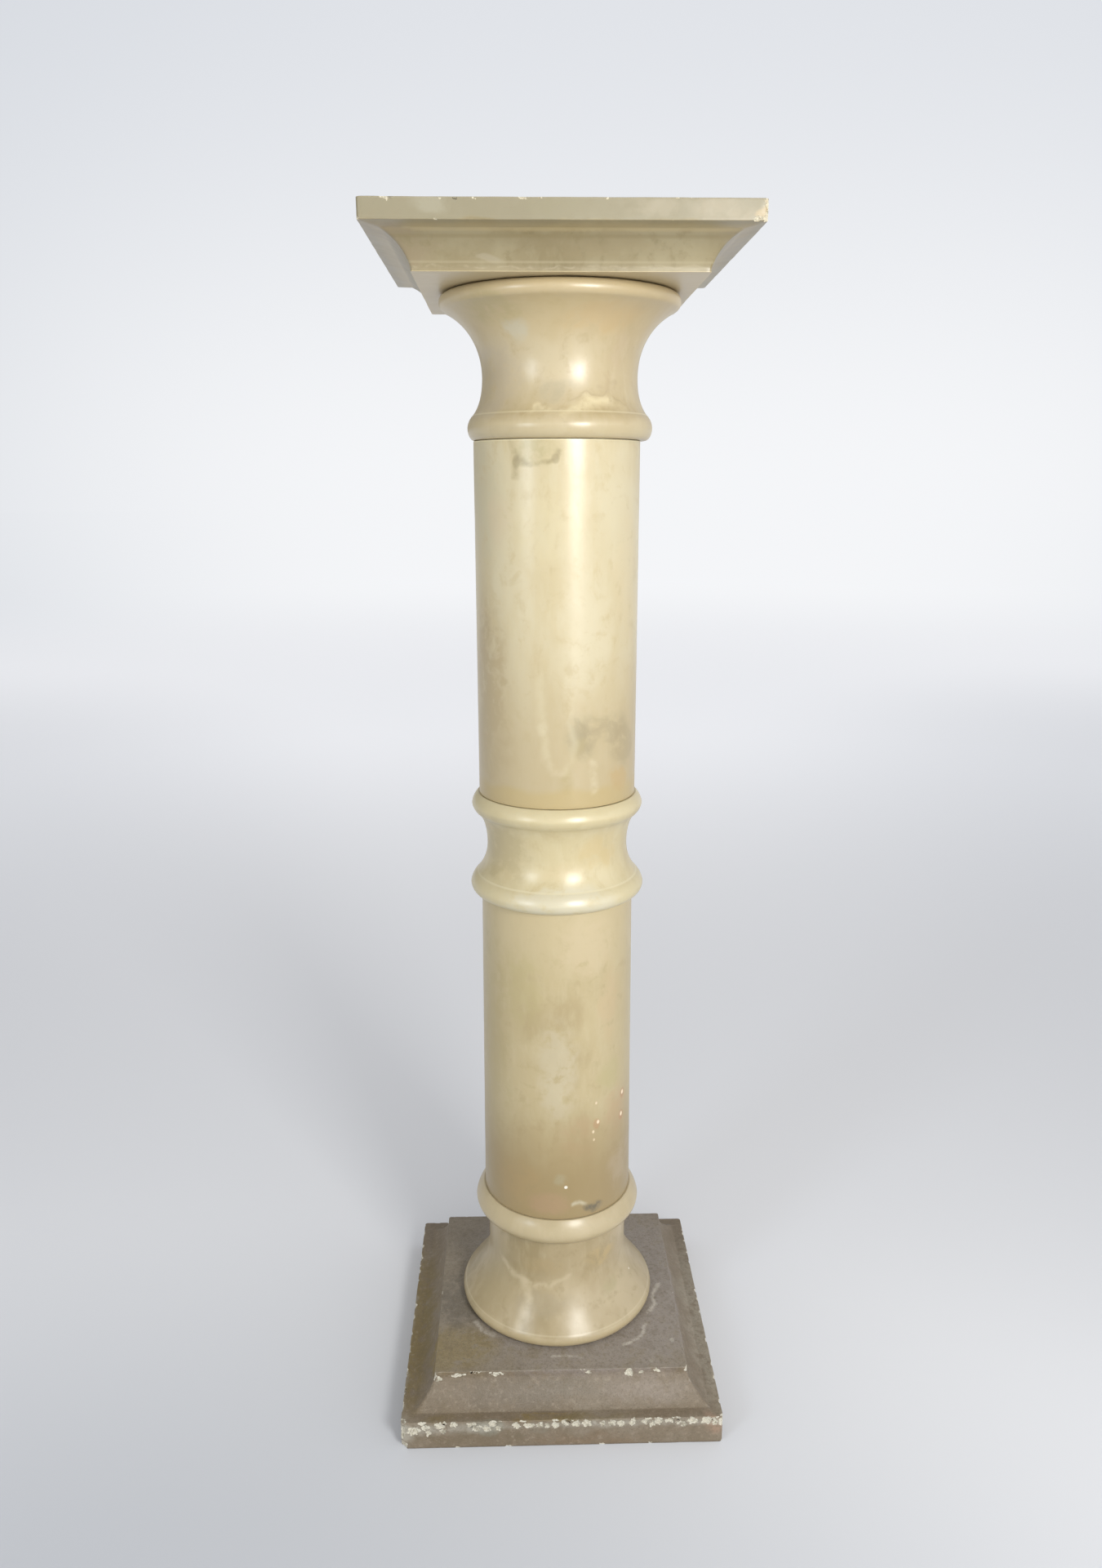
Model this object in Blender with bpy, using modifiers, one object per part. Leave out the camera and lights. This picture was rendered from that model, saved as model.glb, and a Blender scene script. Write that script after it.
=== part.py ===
"""Column pedestal of polished onyx, about a metre high.

Seven stones stand on one another: a square base slab, a turned foot, a lower drum, a turned
collar, an upper drum, a turned capital and a square top slab. Lengths are in metres, +Z is up,
and the origin is the middle of the underside.
"""

import math

import bmesh
import bpy
from mathutils import Vector

OBJECT_NAME = "column_pedestal"

# Bare joint between one stone and the next
JOINT_GAP = 0.0003
# How far a ring's flat seat reaches past the drum that stands on it or hangs over
SEAT_MARGIN = 0.0012

# Base slab, from the floor up; its top step carries the foot
BASE_FACE_HEIGHT = 0.0270
BASE_LEDGE_WIDTH = 0.0106
BASE_HOLLOW_RUN = 0.0178
BASE_HOLLOW_RISE = 0.0213
BASE_HOLLOW_DEPTH = 0.0024
BASE_FILLET_HEIGHT = 0.0057
BASE_STEP_MARGIN = 0.0213
BASE_CORNER_RADIUS = 0.0030

# How far behind the middle of the base slab the column stands
COLUMN_SETBACK = 0.0026

# Foot, from the base slab up
FOOT_RIM_UNDER = 0.0070
FOOT_RIM_UNDERCUT = 0.0065
FOOT_RIM_OVER = 0.0051
FOOT_RIM_SETBACK = 0.0023
FOOT_RIM_SPREAD = 0.0228
FOOT_BELL_HEIGHT = 0.0476
FOOT_NECK_HEIGHT = 0.0358
FOOT_NECK_RECESS = 0.0034
FOOT_RING_UNDER = 0.0098
FOOT_RING_OVER = 0.0139
FOOT_RING_PROJECTION = 0.0084
FOOT_RING_UNDERCUT = 0.0095

# Drums
LOWER_DRUM_LENGTH = 0.2919
LOWER_DRUM_FOOT_RADIUS = 0.0684
LOWER_DRUM_TOP_RADIUS = 0.0667
UPPER_DRUM_LENGTH = 0.2914
UPPER_DRUM_RADIUS = 0.0677
DRUM_EASED_EDGE = 0.0006

# Collar, from the lower drum up
COLLAR_LOW_BEAD_UNDER = 0.0088
COLLAR_LOW_BEAD_OVER = 0.0102
COLLAR_LOW_BEAD_PROJECTION = 0.0096
COLLAR_LOW_BEAD_SETBACK = 0.0061
COLLAR_LOW_HOLLOW_HEIGHT = 0.0258
COLLAR_WAIST_RECESS = 0.0058
COLLAR_HIGH_HOLLOW_HEIGHT = 0.0299
COLLAR_HIGH_BEAD_SETBACK = 0.0031
COLLAR_HIGH_BEAD_UNDER = 0.0064
COLLAR_HIGH_BEAD_OVER = 0.0099
COLLAR_HIGH_BEAD_PROJECTION = 0.0067

# Capital, from the upper drum up; it stands a little to one side of the drum's axis
CAPITAL_SHIFT = 0.0024
CAPITAL_RING_UNDER = 0.0100
CAPITAL_RING_OVER = 0.0097
CAPITAL_RING_PROJECTION = 0.0070
CAPITAL_RING_SETBACK = 0.0046
CAPITAL_HOLLOW_HEIGHT = 0.0283
CAPITAL_NECK_RECESS = 0.0054
CAPITAL_BELL_HEIGHT = 0.0500
CAPITAL_RIM_SPREAD = 0.0278
CAPITAL_RIM_SETBACK = 0.0032
CAPITAL_RIM_UNDER = 0.0058
CAPITAL_RIM_OVER = 0.0057
CAPITAL_RIM_ROLL = 0.0055

# Top slab, from the capital up; its underside covers the capital's rim
TOP_UNDERSIDE_MARGIN = 0.0104
TOP_FILLET_HEIGHT = 0.0027
TOP_HOLLOW_RUN = 0.0191
TOP_HOLLOW_RISE = 0.0220
TOP_HOLLOW_DEPTH = 0.0033
TOP_LEDGE_WIDTH = 0.0129
TOP_LEDGE_RISE = 0.0022
TOP_FACE_HEIGHT = 0.0143
TOP_CORNER_RADIUS = 0.0030

# Bulge of the rolls where they run on into a hollow
ROLL_BULGE = 0.0010

# Fineness of the round and curved faces
ROUND_SIDES = 48
ARC_STEPS = 4
BELL_STEPS = 7
CORNER_SEGMENTS = 2
CREASE_ANGLE = math.radians(28)
MERGE_DISTANCE = 0.00001

# Curves of the bells and hollows, as shares of their own height and width: how far the neck runs
# straight, and where the curve turns outwards
FOOT_TURN = (0.42, 0.62, 0.74)
COLLAR_LOW_TURN = (0.42, 0.45, 0.76)
COLLAR_HIGH_TURN = (0.42, 0.30, 0.85)
CAPITAL_HOLLOW_TURN = (0.42, 0.36, 0.78)
CAPITAL_BELL_TURN = (0.42, 0.33, 0.80)

# Stone colours, linear, with how rough the polish is
STONE_FINISH = {
    "base_slab": ((0.22, 0.17, 0.13), 0.45),
    "foot": ((0.48, 0.40, 0.25), 0.18),
    "lower_drum": ((0.47, 0.37, 0.21), 0.20),
    "collar": ((0.62, 0.53, 0.33), 0.18),
    "upper_drum": ((0.66, 0.56, 0.35), 0.18),
    "capital": ((0.55, 0.45, 0.28), 0.18),
    "top_slab": ((0.42, 0.36, 0.22), 0.22),
}


def clear_scene():
    """Remove whatever the file already holds."""
    for thing in list(bpy.data.objects):
        bpy.data.objects.remove(thing, do_unlink=True)


def new_collection():
    """Make the collection that holds the stones."""
    collection = bpy.data.collections.new(OBJECT_NAME)
    bpy.context.scene.collection.children.link(collection)
    return collection


def stone_material(name):
    """Make one stone's own material from its colour and polish."""
    colour, roughness = STONE_FINISH[name]
    material = bpy.data.materials.new(name + "_stone")
    material.use_nodes = True
    shader = material.node_tree.nodes["Principled BSDF"]
    shader.inputs["Base Color"].default_value = (*colour, 1.0)
    shader.inputs["Roughness"].default_value = roughness
    shader.inputs["Metallic"].default_value = 0.0
    return material


def arc(start, end, bulge):
    """Points from start to end on a round arc that swells to the left of the way by bulge."""
    start, end = Vector(start), Vector(end)
    chord = end - start
    half = chord.length / 2
    left = Vector((-chord.y, chord.x)).normalized()
    radius = (half * half + bulge * bulge) / (2 * abs(bulge))
    side = math.copysign(1.0, bulge)
    centre = (start + end) / 2 - left * side * (radius - abs(bulge))
    spread = 2 * math.asin(min(1.0, half / radius))
    first = math.atan2(start.y - centre.y, start.x - centre.x)
    turn = -side * spread / ARC_STEPS
    return [(centre.x + radius * math.cos(first + turn * step),
             centre.y + radius * math.sin(first + turn * step)) for step in range(ARC_STEPS + 1)]


def quarter_round(flat_end, upright_end):
    """Points on a quarter of an ellipse, level at flat_end and upright at upright_end."""
    run = upright_end[0] - flat_end[0]
    rise = upright_end[1] - flat_end[1]
    angles = [math.pi / 2 * step / ARC_STEPS for step in range(ARC_STEPS + 1)]
    return [(flat_end[0] + run * math.sin(angle), flat_end[1] + rise * (1 - math.cos(angle)))
            for angle in angles]


def bell(neck, lip, turn):
    """Points from an upright neck to a flaring lip, on one smooth curve."""
    straight, out, along = turn
    width, height = lip[0] - neck[0], lip[1] - neck[1]
    handles = (Vector(neck), Vector((neck[0], neck[1] + straight * height)),
               Vector((neck[0] + out * width, neck[1] + along * height)), Vector(lip))
    points = []
    for step in range(BELL_STEPS + 1):
        t = step / BELL_STEPS
        shares = ((1 - t) ** 3, 3 * t * (1 - t) ** 2, 3 * t * t * (1 - t), t ** 3)
        point = sum((share * handle for share, handle in zip(shares, handles)), Vector((0, 0)))
        points.append((point.x, point.y))
    return points


def joined(*stretches):
    """Run stretches of points together, with the shared ends kept once."""
    outline = []
    for stretch in stretches:
        for point in stretch:
            if not outline or (Vector(point) - Vector(outline[-1])).length > MERGE_DISTANCE:
                outline.append(point)
    return outline


def add_piece(name, mesh, collection):
    """Put a mesh in the collection under the stone's name, with its material."""
    piece = bpy.data.objects.new(name, mesh)
    collection.objects.link(piece)
    mesh.materials.clear()
    mesh.materials.append(stone_material(name))
    return piece


def as_plain_mesh(piece):
    """Fix a piece's modifiers into its mesh, shaded smooth between its arrises."""
    bpy.context.view_layer.update()
    evaluated = piece.evaluated_get(bpy.context.evaluated_depsgraph_get())
    mesh = bpy.data.meshes.new_from_object(evaluated)
    piece.modifiers.clear()
    piece.data = mesh
    mesh.shade_smooth()
    mesh.set_sharp_from_angle(angle=CREASE_ANGLE)


def turned_stone(name, outline, seat_height, collection):
    """Turn an outline, listed upwards as (radius, height), about the upright axis."""
    outline = joined([(0.0, outline[0][1])], outline, [(0.0, outline[-1][1])])
    mesh = bpy.data.meshes.new(name)
    points = [(radius, 0.0, height) for radius, height in reversed(outline)]
    mesh.from_pydata(points, [(i, i + 1) for i in range(len(points) - 1)], [])
    piece = add_piece(name, mesh, collection)
    screw = piece.modifiers.new("turning", "SCREW")
    screw.axis = "Z"
    screw.angle = math.tau
    screw.steps = screw.render_steps = ROUND_SIDES
    screw.use_merge_vertices = True
    screw.merge_threshold = MERGE_DISTANCE
    as_plain_mesh(piece)
    piece.location.z = seat_height
    return piece


def drum(name, foot_radius, top_radius, length, seat_height, collection):
    """A plain round drum with its two arrises eased."""
    bpy.ops.mesh.primitive_cone_add(vertices=ROUND_SIDES, radius1=foot_radius, radius2=top_radius,
                                    depth=length, location=(0, 0, seat_height + length / 2))
    piece = bpy.context.object
    piece.name = piece.data.name = name
    for holder in list(piece.users_collection):
        holder.objects.unlink(piece)
    collection.objects.link(piece)
    piece.data.materials.append(stone_material(name))
    ease = piece.modifiers.new("eased edges", "BEVEL")
    ease.width = DRUM_EASED_EDGE
    ease.segments = 1
    ease.limit_method = "ANGLE"
    ease.angle_limit = math.radians(60)
    as_plain_mesh(piece)
    return piece


def moulded_slab(name, outline, corner_radius, seat_height, collection):
    """Draw a square slab up through its moulding, listed upwards as (half width, height)."""
    half, foot = outline[0]
    bm = bmesh.new()
    bmesh.ops.create_cube(bm, size=2 * half)
    first_rise = outline[1][1] - foot
    bmesh.ops.scale(bm, vec=(1, 1, first_rise / (2 * half)), verts=bm.verts)
    bmesh.ops.translate(bm, vec=(0, 0, foot + first_rise / 2), verts=bm.verts)
    top = max(bm.faces, key=lambda face: face.calc_center_median().z)
    widen = outline[1][0] / half
    bmesh.ops.scale(bm, vec=(widen, widen, 1), verts=top.verts)
    for (old_half, old_height), (new_half, new_height) in zip(outline[1:], outline[2:]):
        top = bmesh.ops.extrude_discrete_faces(bm, faces=[top])["faces"][0]
        widen = new_half / old_half
        bmesh.ops.scale(bm, vec=(widen, widen, 1), verts=top.verts)
        bmesh.ops.translate(bm, vec=(0, 0, new_height - old_height), verts=top.verts)
    mitres = [edge for edge in bm.edges
              if all(abs(abs(v.co.x) - abs(v.co.y)) < MERGE_DISTANCE for v in edge.verts)
              and (edge.verts[0].co - edge.verts[1].co).xy.length < half]
    bmesh.ops.bevel(bm, geom=mitres, offset=corner_radius, offset_type="OFFSET", affect="EDGES",
                    segments=CORNER_SEGMENTS, profile=0.5)
    bmesh.ops.recalc_face_normals(bm, faces=bm.faces)
    mesh = bpy.data.meshes.new(name)
    bm.to_mesh(mesh)
    bm.free()
    piece = add_piece(name, mesh, collection)
    mesh.shade_smooth()
    mesh.set_sharp_from_angle(angle=CREASE_ANGLE)
    piece.location.z = seat_height
    return piece


def foot_outline():
    """The foot from its rolled rim up to the ring that takes the lower drum."""
    neck = LOWER_DRUM_FOOT_RADIUS - FOOT_NECK_RECESS
    rim = LOWER_DRUM_FOOT_RADIUS + FOOT_RIM_SPREAD
    ring = LOWER_DRUM_FOOT_RADIUS + FOOT_RING_PROJECTION
    rim_height = FOOT_RIM_UNDER
    lip_height = rim_height + FOOT_RIM_OVER
    neck_foot = lip_height + FOOT_BELL_HEIGHT
    neck_top = neck_foot + FOOT_NECK_HEIGHT
    ring_height = neck_top + FOOT_RING_UNDER
    lip = (rim - FOOT_RIM_SETBACK, lip_height)
    under = quarter_round((rim - FOOT_RIM_UNDERCUT, 0.0), (rim, rim_height))
    over = arc((rim, rim_height), lip, -ROLL_BULGE / 2)
    flare = bell((neck, neck_foot), lip, FOOT_TURN)[::-1]
    ring_under = quarter_round((ring - FOOT_RING_UNDERCUT, neck_top), (ring, ring_height))
    ring_over = arc((ring, ring_height),
                    (LOWER_DRUM_FOOT_RADIUS + SEAT_MARGIN, ring_height + FOOT_RING_OVER),
                    -ROLL_BULGE)
    return joined(under, over, flare, [(neck, neck_top)], ring_under, ring_over)


def collar_outline():
    """The collar from the bead on the lower drum to the bead under the upper drum."""
    low_seat = LOWER_DRUM_TOP_RADIUS + SEAT_MARGIN
    low_bead = LOWER_DRUM_TOP_RADIUS + COLLAR_LOW_BEAD_PROJECTION
    low_height = COLLAR_LOW_BEAD_UNDER
    low_arris = (low_bead - COLLAR_LOW_BEAD_SETBACK, low_height + COLLAR_LOW_BEAD_OVER)
    waist = (LOWER_DRUM_TOP_RADIUS + UPPER_DRUM_RADIUS) / 2 - COLLAR_WAIST_RECESS
    waist_height = low_arris[1] + COLLAR_LOW_HOLLOW_HEIGHT
    high_bead = UPPER_DRUM_RADIUS + COLLAR_HIGH_BEAD_PROJECTION
    high_arris = (high_bead - COLLAR_HIGH_BEAD_SETBACK, waist_height + COLLAR_HIGH_HOLLOW_HEIGHT)
    high_height = high_arris[1] + COLLAR_HIGH_BEAD_UNDER
    high_seat = (UPPER_DRUM_RADIUS + SEAT_MARGIN, high_height + COLLAR_HIGH_BEAD_OVER)
    return joined(
        quarter_round((low_seat, 0.0), (low_bead, low_height)),
        arc((low_bead, low_height), low_arris, -ROLL_BULGE),
        bell((waist, waist_height), low_arris, COLLAR_LOW_TURN)[::-1],
        bell((waist, waist_height), high_arris, COLLAR_HIGH_TURN),
        arc(high_arris, (high_bead, high_height), -ROLL_BULGE / 2),
        arc((high_bead, high_height), high_seat, -ROLL_BULGE),
    )


def capital_outline():
    """The capital from the ring on the upper drum to the rolled rim under the top slab."""
    seat = UPPER_DRUM_RADIUS + SEAT_MARGIN
    ring = UPPER_DRUM_RADIUS + CAPITAL_RING_PROJECTION
    ring_height = CAPITAL_RING_UNDER
    arris = (ring - CAPITAL_RING_SETBACK, ring_height + CAPITAL_RING_OVER)
    neck = (UPPER_DRUM_RADIUS - CAPITAL_NECK_RECESS, arris[1] + CAPITAL_HOLLOW_HEIGHT)
    rim = capital_rim_radius()
    lip = (rim - CAPITAL_RIM_SETBACK, neck[1] + CAPITAL_BELL_HEIGHT)
    rim_height = lip[1] + CAPITAL_RIM_UNDER
    top = (rim - CAPITAL_RIM_ROLL, rim_height + CAPITAL_RIM_OVER)
    return joined(
        quarter_round((seat, 0.0), (ring, ring_height)),
        arc((ring, ring_height), arris, -ROLL_BULGE),
        bell(neck, arris, CAPITAL_HOLLOW_TURN)[::-1],
        bell(neck, lip, CAPITAL_BELL_TURN),
        arc(lip, (rim, rim_height), -ROLL_BULGE),
        quarter_round(top, (rim, rim_height))[::-1],
    )


def capital_rim_radius():
    """How far the capital's rim stands out from its own axis."""
    return UPPER_DRUM_RADIUS + CAPITAL_RIM_SPREAD


def base_outline():
    """The base slab's moulding from the floor to the step that carries the foot."""
    step = LOWER_DRUM_FOOT_RADIUS + FOOT_RIM_SPREAD + BASE_STEP_MARGIN
    ledge = step + BASE_HOLLOW_RUN
    face = ledge + BASE_LEDGE_WIDTH
    hollow_top = BASE_FACE_HEIGHT + BASE_HOLLOW_RISE
    return joined([(face, 0.0), (face, BASE_FACE_HEIGHT)],
                  arc((ledge, BASE_FACE_HEIGHT), (step, hollow_top), BASE_HOLLOW_DEPTH),
                  [(step, hollow_top + BASE_FILLET_HEIGHT)])


def top_outline():
    """The top slab's moulding from its underside to the table face."""
    underside = capital_rim_radius() + TOP_UNDERSIDE_MARGIN
    ledge = underside + TOP_HOLLOW_RUN
    face = ledge + TOP_LEDGE_WIDTH
    hollow_top = TOP_FILLET_HEIGHT + TOP_HOLLOW_RISE
    face_foot = hollow_top + TOP_LEDGE_RISE
    return joined([(underside, 0.0)],
                  arc((underside, TOP_FILLET_HEIGHT), (ledge, hollow_top), TOP_HOLLOW_DEPTH),
                  [(face, face_foot), (face, face_foot + TOP_FACE_HEIGHT)])


def build():
    """Stack the seven stones, each on the height that the one below it reaches."""
    clear_scene()
    collection = new_collection()
    seat = 0.0
    outline = base_outline()
    base = moulded_slab("base_slab", outline, BASE_CORNER_RADIUS, seat, collection)
    seat += outline[-1][1] + JOINT_GAP
    outline = foot_outline()
    turned_stone("foot", outline, seat, collection)
    seat += outline[-1][1] + JOINT_GAP
    drum("lower_drum", LOWER_DRUM_FOOT_RADIUS, LOWER_DRUM_TOP_RADIUS, LOWER_DRUM_LENGTH, seat,
         collection)
    seat += LOWER_DRUM_LENGTH + JOINT_GAP
    outline = collar_outline()
    turned_stone("collar", outline, seat, collection)
    seat += outline[-1][1] + JOINT_GAP
    drum("upper_drum", UPPER_DRUM_RADIUS, UPPER_DRUM_RADIUS, UPPER_DRUM_LENGTH, seat, collection)
    seat += UPPER_DRUM_LENGTH + JOINT_GAP
    outline = capital_outline()
    capital = turned_stone("capital", outline, seat, collection)
    capital.location.x = CAPITAL_SHIFT
    seat += outline[-1][1] + JOINT_GAP
    moulded_slab("top_slab", top_outline(), TOP_CORNER_RADIUS, seat, collection)
    for piece in collection.objects:
        if piece is not base:
            piece.location.y = COLUMN_SETBACK


build()
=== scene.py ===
"""Dress the onyx column pedestal: seven polished stones, worn and veined, on a pale floor.

Lengths are in metres and +Z is up, but marks and chips are placed and sized in millimetres. Each
stone is drawn from an outline where its solid stands, chipped where the real one is chipped, and
finished with its own procedural stone.
"""

import logging
import math
import random
from dataclasses import dataclass
from enum import Enum
from typing import Iterable

import bpy
from mathutils import Matrix, Vector


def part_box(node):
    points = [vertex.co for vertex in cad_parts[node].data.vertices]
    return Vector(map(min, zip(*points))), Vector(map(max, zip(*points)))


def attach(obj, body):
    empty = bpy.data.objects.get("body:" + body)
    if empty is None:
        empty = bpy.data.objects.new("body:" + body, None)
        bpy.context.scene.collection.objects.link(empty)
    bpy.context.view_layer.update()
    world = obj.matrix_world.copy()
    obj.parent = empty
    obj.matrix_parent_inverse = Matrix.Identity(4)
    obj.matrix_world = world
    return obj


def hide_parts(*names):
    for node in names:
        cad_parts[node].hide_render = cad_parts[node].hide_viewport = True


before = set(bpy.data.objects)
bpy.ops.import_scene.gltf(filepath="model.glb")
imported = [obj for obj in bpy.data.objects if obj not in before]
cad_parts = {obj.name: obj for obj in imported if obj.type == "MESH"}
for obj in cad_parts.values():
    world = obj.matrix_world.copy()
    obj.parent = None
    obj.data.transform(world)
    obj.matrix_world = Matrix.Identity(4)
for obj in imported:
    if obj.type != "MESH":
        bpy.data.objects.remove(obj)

log = logging.getLogger("pedestal")

Point = tuple[float, float]
Place = tuple[float, float, float]
Colour = tuple[float, float, float]
Socket = bpy.types.NodeSocket
# A colour, its noise, the values where it starts and is full, and its share
Coat = tuple[Colour, Socket, float, float, float]

ORIGIN: Place = (0.0, 0.0, 0.0)
# Millimetres in a metre
PER_METRE = 1000.0
# Points of an outline nearer to each other than this are one, and corners of a mesh are welded
SAME_SPOT = 1e-6
WELD = 2e-6
# Bends sharper than this stay sharp when a stone is shaded smooth
CREASE = math.radians(30.0)
# How far the flat end of a turned stone is drawn in from its rim, and in what strides
END_RUN = 0.004
END_STRIDE = 0.002


class Stone(Enum):
    """The seven stones, bottom to top, each with the name of its solid."""

    BASE_SLAB = "base_slab"
    FOOT = "foot"
    LOWER_DRUM = "lower_drum"
    COLLAR = "collar"
    UPPER_DRUM = "upper_drum"
    CAPITAL = "capital"
    TOP_SLAB = "top_slab"

    @property
    def slot(self) -> str:
        """The record's material slot for this stone."""
        return f"{self.value}_stone"

    @property
    def seat(self) -> Vector:
        """The middle of the stone's underside, where its solid stands."""
        low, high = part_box(self.value)
        return Vector(((low.x + high.x) / 2, (low.y + high.y) / 2, low.z))


@dataclass(frozen=True)
class Outline:
    """A stone's side, bottom to top, as points (distance from the axis, height)."""

    points: tuple[Point, ...]

    @classmethod
    def through(cls, *stretches: Iterable[Point]) -> "Outline":
        """Run stretches of points together, with shared ends kept once.

        Args:
            *stretches: lists of points, bottom to top.

        Returns:
            The whole outline.
        """
        points: list[Point] = []
        for stretch in stretches:
            for point in stretch:
                if not points or math.dist(point, points[-1]) > SAME_SPOT:
                    points.append(tuple(point))
        return cls(tuple(points))

    def eased(self, width: float, sharpest: float = 24.0, most: float = 0.45,
              steps: int = 4) -> "Outline":
        """Round each arris, as hand polishing leaves it.

        Args:
            width: how far from the arris the rounding starts.
            sharpest: bends of fewer degrees than this are left alone.
            most: largest share of a line that one rounding takes up.
            steps: chords of each rounding.

        Returns:
            The outline with its arrises rounded.
        """
        points: list[Point] = [self.points[0]]
        for before, here, after in zip(self.points, self.points[1:], self.points[2:]):
            come = Vector(here) - Vector(before)
            go = Vector(after) - Vector(here)
            if math.degrees(come.angle(go)) < sharpest:
                points.append(here)
                continue
            start = Vector(here) - come.normalized() * min(width, most * come.length)
            end = Vector(here) + go.normalized() * min(width, most * go.length)
            for step in range(steps + 1):
                t = step / steps
                spot = start * (1 - t) ** 2 + Vector(here) * 2 * t * (1 - t) + end * t * t
                points.append((spot.x, spot.y))
        points.append(self.points[-1])
        return Outline(tuple(points))


def arc(start: Point, end: Point, bulge: float, steps: int = 10) -> list[Point]:
    """Points on a round arc that swells to the left of its way.

    Args:
        start: where the arc begins.
        end: where it ends.
        bulge: height of the swelling, negative to the right.
        steps: number of chords.

    Returns:
        The points, both ends included.
    """
    first, last = Vector(start), Vector(end)
    half = (last - first).length / 2
    left = Vector((first.y - last.y, last.x - first.x)).normalized()
    radius = (half * half + bulge * bulge) / (2 * abs(bulge))
    side = math.copysign(1.0, bulge)
    centre = (first + last) / 2 - left * side * (radius - abs(bulge))
    spread = 2 * math.asin(min(1.0, half / radius))
    angle = math.atan2(first.y - centre.y, first.x - centre.x)
    turn = -side * spread / steps
    return [(centre.x + radius * math.cos(angle + turn * step),
             centre.y + radius * math.sin(angle + turn * step)) for step in range(steps + 1)]


def quarter_round(flat_end: Point, upright_end: Point, steps: int = 10) -> list[Point]:
    """Points on a quarter of an ellipse.

    Args:
        flat_end: the end where the curve runs level.
        upright_end: the end where it runs upright.
        steps: number of chords.

    Returns:
        The points from flat_end to upright_end.
    """
    run = upright_end[0] - flat_end[0]
    rise = upright_end[1] - flat_end[1]
    angles = [math.pi / 2 * step / steps for step in range(steps + 1)]
    return [(flat_end[0] + run * math.sin(a), flat_end[1] + rise * (1 - math.cos(a)))
            for a in angles]


@dataclass(frozen=True)
class Flare:
    """How a flare curves: how far its neck runs straight, and where it turns out, in shares."""

    upright: float
    out: float
    along: float


def bell(neck: Point, lip: Point, flare: Flare, steps: int) -> list[Point]:
    """Points on the smooth flare from an upright neck to a lip.

    Args:
        neck: where the curve is upright.
        lip: where it ends.
        flare: how it curves, in shares of its height and width.
        steps: number of chords.

    Returns:
        The points from the neck to the lip.
    """
    width, height = lip[0] - neck[0], lip[1] - neck[1]
    handles = (Vector(neck), Vector((neck[0], neck[1] + flare.upright * height)),
               Vector((neck[0] + flare.out * width, neck[1] + flare.along * height)),
               Vector(lip))
    points = []
    for step in range(steps + 1):
        t = step / steps
        shares = ((1 - t) ** 3, 3 * t * (1 - t) ** 2, 3 * t * t * (1 - t), t ** 3)
        spot = sum((share * handle for share, handle in zip(shares, handles)), Vector((0, 0)))
        points.append((spot.x, spot.y))
    return points


def straight(start: Point, end: Point, stride: float) -> list[Point]:
    """Points along a straight run, about one stride apart.

    Args:
        start: where the run begins.
        end: where it ends.
        stride: longest distance between two points.

    Returns:
        The points, both ends included.
    """
    steps = max(1, math.ceil(math.dist(start, end) / stride))
    return [(start[0] + (end[0] - start[0]) * step / steps,
             start[1] + (end[1] - start[1]) * step / steps) for step in range(steps + 1)]


def flat_end(rim: Point) -> list[Point]:
    """Points on the flat end of a turned stone, outwards to its rim."""
    return straight((rim[0] - END_RUN, rim[1]), rim, END_STRIDE)


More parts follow.
